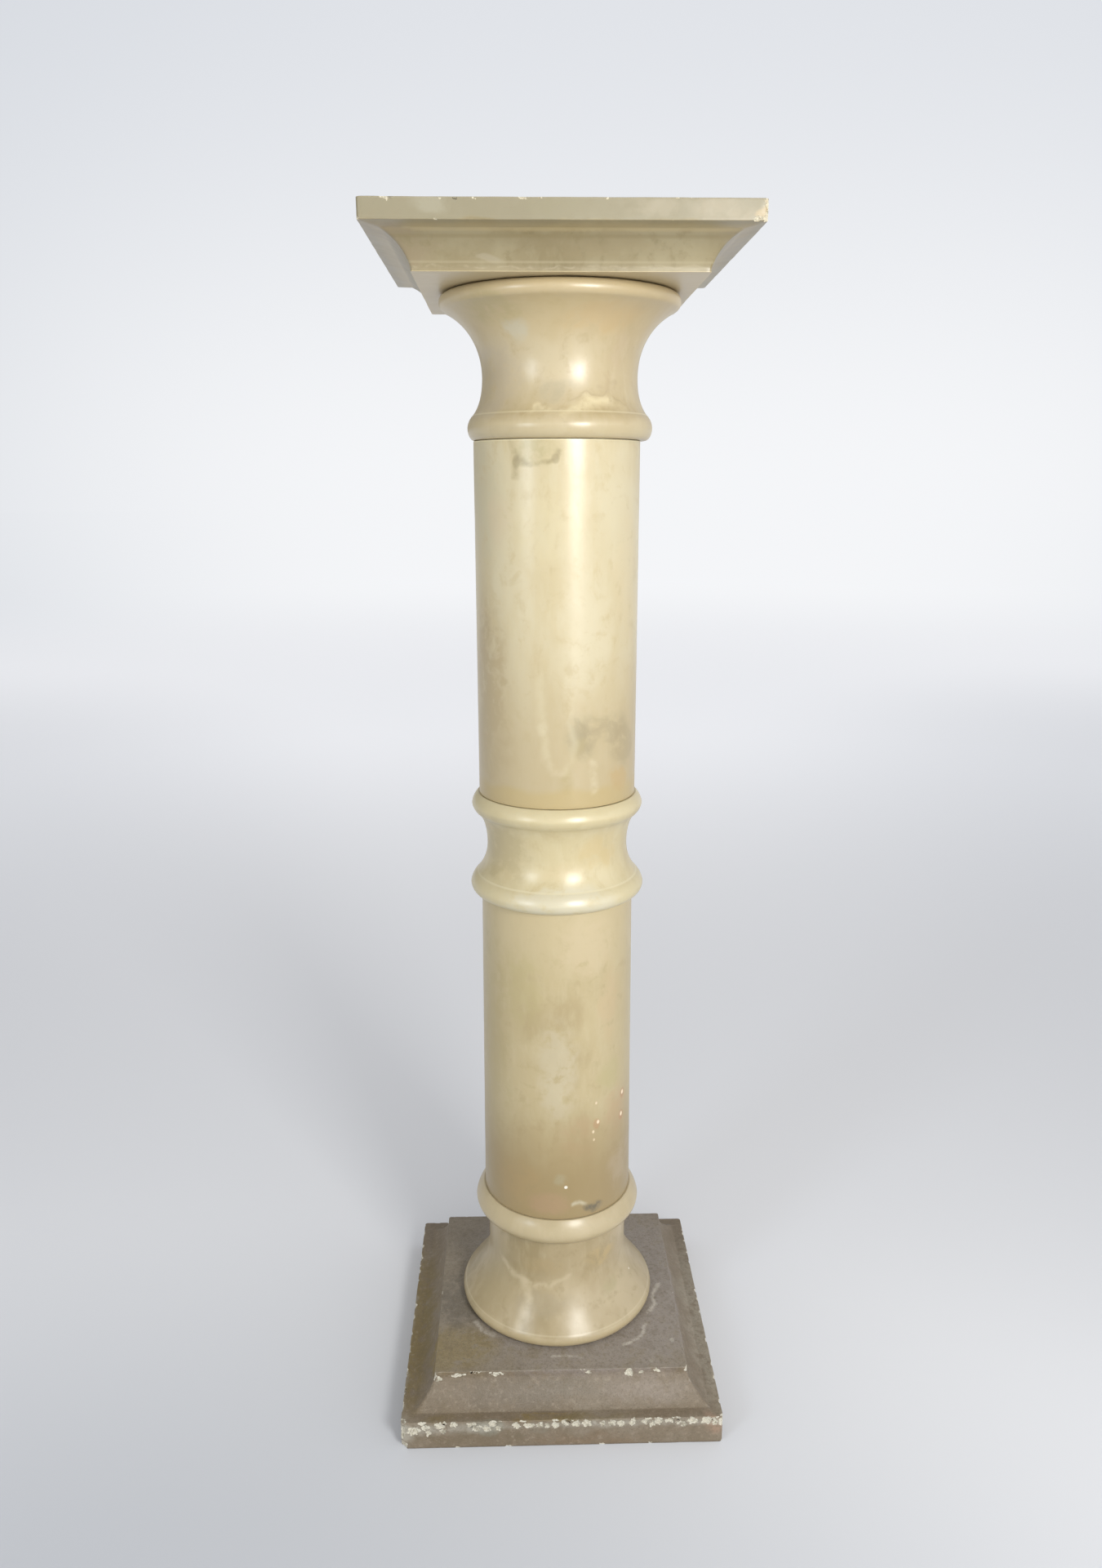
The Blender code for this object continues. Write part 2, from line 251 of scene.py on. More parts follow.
class Workbench:
    """Blender's modelling tools, as the stones use them by hand."""

    @staticmethod
    def clear() -> None:
        """Deselect everything, in object mode."""
        if bpy.context.object and bpy.context.object.mode != "OBJECT":
            bpy.ops.object.mode_set(mode="OBJECT")
        bpy.ops.object.select_all(action="DESELECT")

    @staticmethod
    def turn(outline: Outline, seat: Vector, sides: int) -> None:
        """Draw an outline with one point and spin it about the upright axis.

        Args:
            outline: the side to turn.
            seat: the middle of the stone's underside.
            sides: how many sides the round has.
        """
        Workbench.clear()
        # A small plane merged to its middle leaves the one point to draw with
        bpy.ops.mesh.primitive_plane_add(size=0.001, location=seat)
        bpy.ops.object.mode_set(mode="EDIT")
        bpy.ops.mesh.select_mode(type="VERT")
        bpy.ops.mesh.select_all(action="SELECT")
        bpy.ops.mesh.merge(type="CENTER")
        spot = (0.0, 0.0)
        for reach, height in (*outline.points, (0.0, outline.points[-1][1])):
            bpy.ops.mesh.extrude_region_move(TRANSFORM_OT_translate={
                "value": (reach - spot[0], 0.0, height - spot[1])})
            spot = (reach, height)
        bpy.ops.mesh.select_all(action="SELECT")
        bpy.ops.mesh.spin(steps=sides, angle=math.tau, center=seat, axis=(0.0, 0.0, 1.0))
        bpy.ops.mesh.select_all(action="SELECT")
        bpy.ops.mesh.remove_doubles(threshold=WELD)

    @staticmethod
    def draw_up(outline: Outline, seat: Vector) -> None:
        """Extrude the flat shape that is being edited up along an outline, ring by ring.

        Args:
            outline: the side to follow, which starts where the flat shape lies.
            seat: the middle of the stone's underside.
        """
        for (reach, height), (next_reach, next_height) in zip(outline.points, outline.points[1:]):
            bpy.ops.mesh.extrude_region_move(
                TRANSFORM_OT_translate={"value": (0.0, 0.0, next_height - height)})
            scale = next_reach / reach
            bpy.ops.transform.resize(value=(scale, scale, 1.0),
                                     center_override=(seat.x, seat.y, seat.z + next_height))

    @staticmethod
    def pick(piece: bpy.types.Object) -> None:
        """Select one piece alone and make it the active one.

        Args:
            piece: the piece.
        """
        Workbench.clear()
        piece.select_set(True)
        bpy.context.view_layer.objects.active = piece

    @staticmethod
    def settle(piece: bpy.types.Object, name: str) -> None:
        """Put a new piece's place into its mesh, turn its faces outwards and shade it.

        Args:
            piece: the piece, selected and active.
            name: its name.
        """
        piece.name = piece.data.name = name
        bpy.ops.object.mode_set(mode="EDIT")
        bpy.ops.mesh.select_all(action="SELECT")
        bpy.ops.mesh.normals_make_consistent(inside=False)
        bpy.ops.object.mode_set(mode="OBJECT")
        bpy.ops.object.transform_apply(location=True, rotation=True, scale=True)
        bpy.ops.object.shade_smooth_by_angle(angle=CREASE)

    @staticmethod
    def roughen(piece: bpy.types.Object, size: float, depth: float, still: float,
                layers: int) -> None:
        """Push a piece's surface in and out by soft noise.

        Args:
            piece: the active piece.
            size: size of the hollows.
            depth: height from the deepest hollow to the highest bump.
            still: share of that height that lies under the old surface.
            layers: number of finer layers.
        """
        grain = bpy.data.textures.new(f"{piece.name}_grain", "CLOUDS")
        grain.noise_scale = size
        grain.noise_depth = layers
        push = piece.modifiers.new("grain", "DISPLACE")
        push.texture = grain
        push.texture_coords = "LOCAL"
        push.strength = depth
        push.mid_level = still
        bpy.ops.object.modifier_apply(modifier=push.name)


def metres(place: Place) -> Place:
    """A place or size in millimetres, turned to metres."""
    return tuple(part / PER_METRE for part in place)


def shaded(colour: Colour, share: float) -> Colour:
    """A colour with a share of its brightness, which may be more than 1."""
    return tuple(share * part for part in colour)


class NodeBench:
    """Lays out shader nodes, for a material or for the surroundings."""

    def __init__(self, tree: bpy.types.NodeTree, coordinates: str) -> None:
        """Start on a tree of nodes.

        Args:
            tree: the tree to lay nodes in.
            coordinates: which coordinates the nodes read.
        """
        self.tree = tree
        self.place = tree.nodes.new("ShaderNodeTexCoord").outputs[coordinates]

    def node(self, kind: str, inputs: dict[str | int, object] | None = None,
             **settings: object) -> bpy.types.Node:
        """Add a node, set it and wire its inputs.

        Args:
            kind: Blender's name for the node.
            inputs: each input's value, or the output that feeds it.
            **settings: the node's own settings.

        Returns:
            The node.
        """
        node = self.tree.nodes.new(kind)
        for key, value in settings.items():
            setattr(node, key, value)
        for key, value in (inputs or {}).items():
            self.feed(node.inputs[key], value)
        return node

    def feed(self, socket: Socket, value: object) -> None:
        """Give an input a value, or link an output to it.

        Args:
            socket: the input.
            value: a number, a colour or an output.
        """
        if isinstance(value, bpy.types.NodeSocket):
            self.tree.links.new(value, socket)
        elif isinstance(value, tuple) and socket.type == "RGBA":
            socket.default_value = (*value, 1.0)
        else:
            socket.default_value = value

    def sum(self, operation: str, *terms: object) -> Socket:
        """Work out one number from others.

        Args:
            operation: Blender's name for the sum.
            *terms: numbers or outputs.

        Returns:
            The result's output.
        """
        return self.node("ShaderNodeMath", dict(enumerate(terms)), operation=operation).outputs[0]

    def vector(self, operation: str, *terms: object) -> bpy.types.Node:
        """Work out one vector from others.

        Args:
            operation: Blender's name for the sum.
            *terms: vectors or outputs.

        Returns:
            The node, whose second output holds the result where that is a number.
        """
        return self.node("ShaderNodeVectorMath", dict(enumerate(terms)), operation=operation)

    def clouds(self, scale: float, detail: float = 4.0, roughness: float = 0.5,
               stretch: Place = (1.0, 1.0, 1.0), place: Socket | None = None) -> Socket:
        """Soft noise between 0 and 1, about 0.5 on average.

        Args:
            scale: how fine the noise is, in waves a metre.
            detail: number of finer layers.
            roughness: strength of the finer layers.
            stretch: how much longer the clouds are along each axis.
            place: coordinates to read, the bench's own where none are given.

        Returns:
            The noise's output.
        """
        spot = self.node("ShaderNodeMapping", {"Vector": place or self.place, "Scale": stretch},
                         vector_type="TEXTURE").outputs[0]
        return self.node("ShaderNodeTexNoise", {"Vector": spot, "Scale": scale, "Detail": detail,
                                                "Roughness": roughness}).outputs["Fac"]

    def stirred(self, scale: float, amount: float) -> Socket:
        """The bench's coordinates pushed about by noise, for ragged edges.

        Args:
            scale: how fine the pushing is, in waves a metre.
            amount: how far it pushes, in metres.

        Returns:
            The pushed coordinates' output.
        """
        noise = self.node("ShaderNodeTexNoise",
                          {"Vector": self.place, "Scale": scale, "Detail": 1.5}).outputs["Color"]
        push = self.vector("SUBTRACT", noise, (0.5, 0.5, 0.5)).outputs[0]
        return self.vector("MULTIPLY_ADD", push, (2 * amount,) * 3, self.place).outputs[0]

    def step(self, value: Socket, low: float, high: float, top: float = 1.0) -> Socket:
        """Rise smoothly from 0 to a top value while the input goes from low to high.

        Args:
            value: the output to read.
            low: where the rise starts, which may be the greater of the two.
            high: where it ends.
            top: the value reached.

        Returns:
            The result's output.
        """
        return self.node("ShaderNodeMapRange", {"Value": value, "From Min": low, "From Max": high,
                                                "To Max": top},
                         interpolation_type="SMOOTHSTEP").outputs[0]

    def blend(self, under: object, over: object, share: object) -> Socket:
        """Lay one colour over another.

        Args:
            under: the colour below.
            over: the colour on top.
            share: how much of the top one shows.

        Returns:
            The colour's output.
        """
        return self.node("ShaderNodeMix", {0: share, 6: under, 7: over},
                         data_type="RGBA").outputs[2]

    def coat(self, under: object, coats: Iterable[Coat]) -> Socket:
        """Lay colours over one another, each where a noise has certain values.

        Args:
            under: the colour below.
            coats: each colour, its noise, the values where it starts and is full, and its share.

        Returns:
            The colour's output.
        """
        for colour, noise, start, full, share in coats:
            under = self.blend(under, colour, self.step(noise, start, full, share))
        return under

    def height(self, place: Socket) -> Socket:
        """How high the spot lies that some coordinates stand for."""
        return self.node("ShaderNodeSeparateXYZ", {0: place}).outputs[2]

    def nearness(self, centre: Place, size: Place, place: Socket) -> Socket:
        """How near a spot is to a centre: 1 there, 0 on an ellipsoid's skin and beyond.

        Args:
            centre: the ellipsoid's middle.
            size: its half axes.
            place: coordinates to read.

        Returns:
            The nearness output.
        """
        spot = self.node("ShaderNodeMapping",
                         {"Vector": place, "Location": centre, "Scale": size},
                         vector_type="TEXTURE").outputs[0]
        return self.node("ShaderNodeTexGradient", {"Vector": spot},
                         gradient_type="SPHERICAL").outputs["Fac"]

    def distance(self, start: Place, end: Place, place: Socket) -> Socket:
        """How far a spot is from a straight line between two points.

        Args:
            start: one end of the line.
            end: the other end.
            place: coordinates to read.

        Returns:
            The distance output, in metres.
        """
        way = Vector(end) - Vector(start)
        spot = self.vector("SUBTRACT", place, tuple(start)).outputs[0]
        along = self.vector("DOT_PRODUCT", spot, tuple(way / way.length_squared)).outputs[1]
        along = self.node("ShaderNodeMath", {0: along, 1: 1.0}, operation="MULTIPLY",
                          use_clamp=True).outputs[0]
        foot = self.node("ShaderNodeVectorMath", {"Vector": tuple(way), "Scale": along},
                         operation="SCALE").outputs[0]
        return self.vector("DISTANCE", spot, foot).outputs[1]


class MaterialBench(NodeBench):
    """Lays out the nodes of one material, with the ragged coordinates and mottling they share."""

    def __init__(self, name: str) -> None:
        """Start a material.

        Args:
            name: the material's name.
        """
        self.material = bpy.data.materials.new(name)
        self.material.use_nodes = True
        super().__init__(self.material.node_tree, "Object")
        self.shader = self.tree.nodes["Principled BSDF"]
        self.loose = self.stirred(scale=32.0, amount=0.009)
        self.close = self.stirred(scale=90.0, amount=0.0035)
        self.mottle = self.clouds(scale=85.0, detail=5.0, roughness=0.6, place=self.loose)
        self.blotches = self.step(self.mottle, 0.2, 0.72, 1.7)
        self.breaks = self.step(self.mottle, 0.25, 0.6)

    def smeared(self, polish: float, spread: float, scale: float) -> Socket:
        """A roughness that wanders about one value.

        Args:
            polish: the roughness on average.
            spread: how far apart its extremes are.
            scale: how fine the smears are, in waves a metre.

        Returns:
            The roughness output.
        """
        smear = self.clouds(scale, detail=4.0, roughness=0.6)
        return self.sum("MULTIPLY_ADD", smear, spread, polish - spread / 2)

    def finish(self, colour: Socket, roughness: object, relief: Socket | None = None,
               depth: float = 0.0) -> bpy.types.Material:
        """Wire the colour, the polish and the relief to the shader.

        Args:
            colour: the colour's output.
            roughness: the polish, as a number or an output.
            relief: height of the fine relief between 0 and 1.
            depth: what a relief of 1 stands for, in metres.

        Returns:
            The finished material.
        """
        self.feed(self.shader.inputs["Base Color"], colour)
        self.feed(self.shader.inputs["Roughness"], roughness)
        if relief is not None:
            bump = self.node("ShaderNodeBump", {"Height": relief, "Distance": depth})
            self.feed(self.shader.inputs["Normal"], bump.outputs[0])
        return self.material


class Mark:
    """Something that colours a part of a stone, in millimetres."""

    colour: Colour
    share: float

    def cover(self, bench: MaterialBench) -> Socket:
        """How much of the mark's colour shows, which each kind of mark works out for itself."""
        raise NotImplementedError

    def lay(self, bench: MaterialBench, under: object) -> Socket:
        """Lay the mark over a colour.

        Args:
            bench: the material's bench.
            under: the colour below.

        Returns:
            The colour with the mark on it.
        """
        return bench.blend(under, self.colour, self.cover(bench))


@dataclass(frozen=True)
class Patch(Mark):
    """A cloud of another colour at one place, or a clean spot where it is small."""

    centre: Place
    size: Place
    colour: Colour
    share: float = 0.6
    core: float = 0.75
    spot_core: float = 0.5
    largest_spot: float = 7.0

    def cover(self, bench: MaterialBench) -> Socket:
        """How much of the patch shows.

        Args:
            bench: the material's bench.

        Returns:
            The share's output.
        """
        centre, size = metres(self.centre), metres(self.size)
        if max(self.size) < self.largest_spot:
            near = bench.nearness(centre, size, bench.place)
            return bench.step(near, 0.0, self.spot_core, self.share)
        near = bench.sum("MULTIPLY", bench.nearness(centre, size, bench.loose), bench.blotches)
        return bench.step(near, 0.0, self.core, self.share)


@dataclass(frozen=True)
class Streak(Mark):
    """A vein, drip, scratch or painted highlight drawn along a path."""

    path: tuple[Place, ...]
    width: float
    colour: Colour
    share: float = 0.6

    def cover(self, bench: MaterialBench) -> Socket:
        """How much of the streak shows.

        Args:
            bench: the material's bench.

        Returns:
            The share's output.
        """
        nearest = None
        for start, end in zip(self.path, self.path[1:]):
            off = bench.distance(metres(start), metres(end), bench.close)
            nearest = off if nearest is None else bench.sum("MINIMUM", nearest, off)
        line = bench.step(nearest, self.width / PER_METRE, 0.0, self.share)
        return bench.sum("MULTIPLY", line, bench.breaks)


@dataclass(frozen=True)
class Level(Mark):
    """A colour that comes in over a range of heights."""

    start: float
    full: float
    colour: Colour
    share: float = 0.6

    def cover(self, bench: MaterialBench) -> Socket:
        """How much of the level shows."""
        return bench.step(bench.height(bench.loose), self.start / PER_METRE,
                          self.full / PER_METRE, self.share)


@dataclass(frozen=True)
class Ring(Mark):
    """A thin line right round a stone at one height, for wear, grime and painted light and shade."""

    height: float
    width: float
    colour: Colour
    share: float = 0.6
    core: float = 0.2

    def cover(self, bench: MaterialBench) -> Socket:
        """How much of the ring shows.

        Args:
            bench: the material's bench.

        Returns:
            The share's output.
        """
        rise = bench.sum("SUBTRACT", bench.height(bench.place), self.height / PER_METRE)
        reach = self.width / PER_METRE
        return bench.step(bench.sum("ABSOLUTE", rise), reach, self.core * reach, self.share)


@dataclass(frozen=True)
class OnyxFinish:
    """Polished, slightly translucent onyx with soft clouds and veins."""

    pale: Colour
    mid: Colour
    deep: Colour
    marks: tuple[Mark, ...] = ()
    cloud_scale: float = 13.0
    cloud_stretch: Place = (1.0, 1.0, 1.8)
    grain_stretch: Place = (1.0, 1.0, 3.0)
    dust_shade: float = 0.75
    polish: float = 0.31
    polish_spread: float = 0.08
    index: float = 1.6
    glow: float = 0.08
    glow_depth: float = 0.006
    glow_reach: Colour = (1.0, 0.72, 0.4)
    relief: float = 0.0003

    def material(self, name: str) -> bpy.types.Material:
        """Make the stone's material.

        Args:
            name: the material's name.

        Returns:
            The material.
        """
        bench = MaterialBench(name)
        drift = bench.clouds(self.cloud_scale, 4.0, 0.5, self.cloud_stretch, bench.loose)
        grain = bench.clouds(120.0, 4.0, 0.6, self.grain_stretch)
        dust = bench.clouds(520.0, 3.0, 0.6)
        colour = bench.coat(self.mid, (
            (self.pale, drift, 0.48, 0.66, 0.9),
            (self.deep, drift, 0.49, 0.34, 1.0),
            (self.deep, bench.mottle, 0.5, 0.3, 0.6),
            (self.pale, grain, 0.42, 0.72, 0.5),
        ))
        for mark in self.marks:
            colour = mark.lay(bench, colour)
        colour = bench.coat(colour, ((shaded(self.deep, self.dust_shade), dust, 0.6, 0.85, 0.2),))
        inputs = bench.shader.inputs
        inputs["Subsurface Weight"].default_value = self.glow
        inputs["Subsurface Radius"].default_value = self.glow_reach
        inputs["Subsurface Scale"].default_value = self.glow_depth
        inputs["IOR"].default_value = self.index
        return bench.finish(colour, bench.smeared(self.polish, self.polish_spread, 38.0),
                            bench.clouds(60.0, 2.0, 0.4), self.relief)


@dataclass(frozen=True)
class WornFinish:
    """Grey-brown stone with its polish worn off and grime left on it."""

    pale: Colour
    mid: Colour
    deep: Colour
    marks: tuple[Mark, ...] = ()
    spot_shade: float = 1.3
    grime_shade: float = 0.7
    polish: float = 0.45
    polish_spread: float = 0.24
    relief: float = 0.0005

    def material(self, name: str) -> bpy.types.Material:
        """Make the stone's material.

        Args:
            name: the material's name.

        Returns:
            The material.
        """
        bench = MaterialBench(name)
        drift = bench.clouds(20.0, 5.0, 0.55, place=bench.loose)
        spots = bench.clouds(260.0, 4.0, 0.65)
        grain = bench.clouds(700.0, 3.0, 0.7)
        colour = bench.coat(self.mid, (
            (self.pale, drift, 0.5, 0.7, 0.7),
            (self.deep, drift, 0.48, 0.3, 0.6),
        ))
        for mark in self.marks:
            colour = mark.lay(bench, colour)
        colour = bench.coat(colour, (
            (self.deep, bench.mottle, 0.42, 0.75, 0.4),
            (self.deep, spots, 0.48, 0.72, 0.5),
            (shaded(self.pale, self.spot_shade), spots, 0.47, 0.28, 0.5),
            (shaded(self.deep, self.grime_shade), grain, 0.52, 0.74, 0.6),
        ))
        return bench.finish(colour, bench.smeared(self.polish, self.polish_spread, 45.0),
                            grain, self.relief)


@dataclass(frozen=True)
class BruisedFinish:
    """The crushed, nearly white stone inside a chip."""

    white: Colour
    stone: Colour
    dullness: float = 0.75
    relief: float = 0.0006

    def material(self, name: str) -> bpy.types.Material:
        """Make the chips' material.

        Args:
            name: the material's name.

        Returns:
            The material.
        """
        bench = MaterialBench(name)
        crumbs = bench.clouds(900.0, 3.0, 0.7)
        blots = bench.clouds(190.0, 3.0, 0.6)
        colour = bench.coat(self.white, (
            (self.stone, blots, 0.52, 0.68, 0.75),
            (self.stone, crumbs, 0.5, 0.8, 0.5),
        ))
        return bench.finish(colour, self.dullness, crumbs, self.relief)


@dataclass(frozen=True)
class Chip:
    """One flake knocked off a stone: a rough flattened ball cut out of it, in millimetres."""

    place: Place
    size: Place
    tilt: float = 0.0
    fineness: int = 4


@dataclass
class ChipSet:
    """All the flakes of one stone, cut in one go."""

    chips: list[Chip]
    finish: BruisedFinish
    crumb: float = 0.0020
    crumb_depth: float = 0.0044

    def cutter(self, name: str) -> bpy.types.Object:
        """Model every flake as a rough ball and join them.

        Args:
            name: the stone's name.

        Returns:
            One object that holds all the flakes.
        """
        balls = []
        for chip in self.chips:
            Workbench.clear()
            bpy.ops.mesh.primitive_ico_sphere_add(
                subdivisions=chip.fineness, radius=1.0, location=metres(chip.place),
                rotation=(0.0, math.radians(chip.tilt), 0.0), scale=metres(chip.size))
            bpy.ops.object.transform_apply(location=True, rotation=True, scale=True)
            balls.append(bpy.context.object)
        whole = balls[0]
        Workbench.pick(whole)
        for ball in balls:
            ball.select_set(True)
        bpy.ops.object.join()
        whole.name = f"{name}_flakes"
        whole.data.materials.append(self.finish.material(f"{name}_bruise"))
        Workbench.roughen(whole, self.crumb, self.crumb_depth, still=0.5, layers=3)
        return whole

    def cut(self, piece: bpy.types.Object) -> None:
        """Take the flakes out of a stone.

        Args:
            piece: the stone.
        """
        tool = self.cutter(piece.name)
        Workbench.pick(piece)
        bite = piece.modifiers.new("flakes", "BOOLEAN")
        bite.operation = "DIFFERENCE"
        bite.object = tool
        bite.solver = "MANIFOLD"
        bite.material_mode = "TRANSFER"
        bpy.ops.object.modifier_apply(modifier=bite.name)
        bpy.data.objects.remove(tool, do_unlink=True)
        bpy.ops.object.shade_smooth_by_angle(angle=CREASE)


@dataclass(frozen=True)
class Arris:
    """The four edges of a slab at one height, in millimetres, and its small nicks."""

    reach: float
    height: float
    nicks: int
    longest: float
    seed: int
    setback: float = 0.0
    shortest: float = 0.35
    depth: float = 0.45
    tallness: float = 0.6
    stand_off: float = 0.3
    below: float = 1.0
    above: float = 0.5
    fineness: int = 3

    def flakes(self) -> list[Chip]:
        """Small flakes at chance places along the edges.

        Returns:
            The flakes.
        """
        chance = random.Random(self.seed)
        chips = []
        for _ in range(self.nicks):
            along = chance.uniform(-self.reach, self.reach)
            long = chance.uniform(self.shortest, 1.0) * self.longest
            deep = self.depth * long
            tall = self.tallness * long
            off = self.reach + self.stand_off * deep
            (x, y), size = chance.choice((
                ((along, -off), (long, deep, tall)), ((off, along), (deep, long, tall)),
                ((along, off), (long, deep, tall)), ((-off, along), (deep, long, tall))))
            z = self.height + chance.uniform(-self.below, self.above)
            chips.append(Chip((x, y + self.setback, z), size, fineness=self.fineness))
        return chips


@dataclass
class DressedStone:
    """A stone of the pedestal, dressed where its solid stands."""

    stone: Stone
    finish: OnyxFinish | WornFinish

    def outline(self) -> Outline:
        """The stone's side, which each kind of stone draws for itself."""
        raise NotImplementedError

    def dress(self, waver: float, waver_width: float) -> bpy.types.Object:
        """Finish the piece that is being edited.

        Args:
            waver: how deep its ground surface wavers inwards.
            waver_width: size of the hollows.

        Returns:
            The dressed piece.
        """
        piece = bpy.context.object
        Workbench.settle(piece, f"{self.stone.value}_dressed")
        Workbench.roughen(piece, waver_width, waver, still=1.0, layers=2)
        piece.data.materials.append(self.finish.material(f"{self.stone.value}_finish"))
        return piece


@dataclass
class TurnedStone(DressedStone):
    """A stone turned on a lathe about its own axis."""

    sides: int = 192
    easing: float = 0.00028
    waver: float = 0.00016
    waver_width: float = 0.03
    roll_bulge: float = -0.001
    faint_bulge: float = -0.0005

    def build(self) -> bpy.types.Object:
        """Turn the stone at its place and dress it."""
        Workbench.turn(self.outline().eased(self.easing), self.stone.seat, self.sides)
        return self.dress(self.waver, self.waver_width)


@dataclass
class Foot(TurnedStone):
    """The bell-shaped foot: rolled rim, flare, neck and the ring under the lower drum."""

    rim_radius: float = 0.0912
    rim_under: float = 0.0070
    rim_undercut: float = 0.0065
    rim_over: float = 0.0051
    rim_setback: float = 0.0023
    bell_height: float = 0.0476
    neck_height: float = 0.0358
    neck_radius: float = 0.0650
    ring_radius: float = 0.0768
    ring_under: float = 0.0098
    ring_over: float = 0.0139
    ring_undercut: float = 0.0095
    seat_radius: float = 0.0696
    flare: Flare = Flare(0.42, 0.62, 0.74)
    neck_stride: float = 0.003

    def outline(self) -> Outline:
        """The foot's side."""
        rim_foot = (self.rim_radius - self.rim_undercut, 0.0)
        rim = (self.rim_radius, self.rim_under)
        lip = (self.rim_radius - self.rim_setback, self.rim_under + self.rim_over)
        neck = (self.neck_radius, lip[1] + self.bell_height)
        neck_top = (self.neck_radius, neck[1] + self.neck_height)
        ring_foot = (self.ring_radius - self.ring_undercut, neck_top[1])
        ring = (self.ring_radius, neck_top[1] + self.ring_under)
        seat = (self.seat_radius, ring[1] + self.ring_over)
        return Outline.through(
            flat_end(rim_foot),
            quarter_round(rim_foot, rim),
            arc(rim, lip, self.faint_bulge, steps=6),
            bell(neck, lip, self.flare, steps=44)[::-1],
            straight(neck, neck_top, self.neck_stride),
            quarter_round(ring_foot, ring, steps=12),
            arc(ring, seat, self.roll_bulge, steps=12),
            flat_end(seat)[::-1],
        )


@dataclass
class Drum(TurnedStone):
    """A plain round drum."""

    foot_radius: float = 0.0677
    top_radius: float = 0.0677
    length: float = 0.2914
    stride: float = 0.004

    def outline(self) -> Outline:
        """The drum's side."""
        foot, top = (self.foot_radius, 0.0), (self.top_radius, self.length)
        return Outline.through(flat_end(foot), straight(foot, top, self.stride),
                               flat_end(top)[::-1])


@dataclass
class Collar(TurnedStone):
    """The waisted collar between the two drums, with a bead at each end."""

    low_seat: float = 0.0679
    low_bead: float = 0.0763
    low_under: float = 0.0088
    low_over: float = 0.0102
    low_setback: float = 0.0061
    low_hollow: float = 0.0258
    waist_radius: float = 0.0614
    high_hollow: float = 0.0299
    high_bead: float = 0.0744
    high_setback: float = 0.0031
    high_under: float = 0.0064
    high_over: float = 0.0099
    high_seat: float = 0.0689
    low_flare: Flare = Flare(0.42, 0.45, 0.76)
    high_flare: Flare = Flare(0.42, 0.30, 0.85)

    def outline(self) -> Outline:
        """The collar's side."""
        foot = (self.low_seat, 0.0)
        low = (self.low_bead, self.low_under)
        low_arris = (self.low_bead - self.low_setback, low[1] + self.low_over)
        waist = (self.waist_radius, low_arris[1] + self.low_hollow)
        high_arris = (self.high_bead - self.high_setback, waist[1] + self.high_hollow)
        high = (self.high_bead, high_arris[1] + self.high_under)
        seat = (self.high_seat, high[1] + self.high_over)
        return Outline.through(
            flat_end(foot),
            quarter_round(foot, low),
            arc(low, low_arris, self.roll_bulge),
            bell(waist, low_arris, self.low_flare, steps=26)[::-1],
            bell(waist, high_arris, self.high_flare, steps=30),
            arc(high_arris, high, self.faint_bulge, steps=6),
            arc(high, seat, self.roll_bulge),
            flat_end(seat)[::-1],
        )


@dataclass
class Capital(TurnedStone):
    """The bell-shaped capital: ring, hollow, neck, flare and rolled rim."""

    seat_radius: float = 0.0689
    ring_radius: float = 0.0747
    ring_under: float = 0.0100
    ring_over: float = 0.0097
    ring_setback: float = 0.0046
    hollow_height: float = 0.0283
    neck_radius: float = 0.0623
    bell_height: float = 0.0500
    rim_radius: float = 0.0955
    rim_setback: float = 0.0032
    rim_under: float = 0.0058
    rim_over: float = 0.0057
    rim_roll: float = 0.0055
    hollow_flare: Flare = Flare(0.42, 0.36, 0.78)
    bell_flare: Flare = Flare(0.42, 0.33, 0.80)

    def outline(self) -> Outline:
        """The capital's side."""
        foot = (self.seat_radius, 0.0)
        ring = (self.ring_radius, self.ring_under)
        arris = (self.ring_radius - self.ring_setback, ring[1] + self.ring_over)
        neck = (self.neck_radius, arris[1] + self.hollow_height)
        lip = (self.rim_radius - self.rim_setback, neck[1] + self.bell_height)
        rim = (self.rim_radius, lip[1] + self.rim_under)
        top = (self.rim_radius - self.rim_roll, rim[1] + self.rim_over)
        return Outline.through(
            flat_end(foot),
            quarter_round(foot, ring),
            arc(ring, arris, self.roll_bulge),
            bell(neck, arris, self.hollow_flare, steps=28)[::-1],
            bell(neck, lip, self.bell_flare, steps=48),
            arc(lip, rim, self.roll_bulge, steps=8),
            quarter_round(top, rim)[::-1],
            flat_end(top)[::-1],
        )


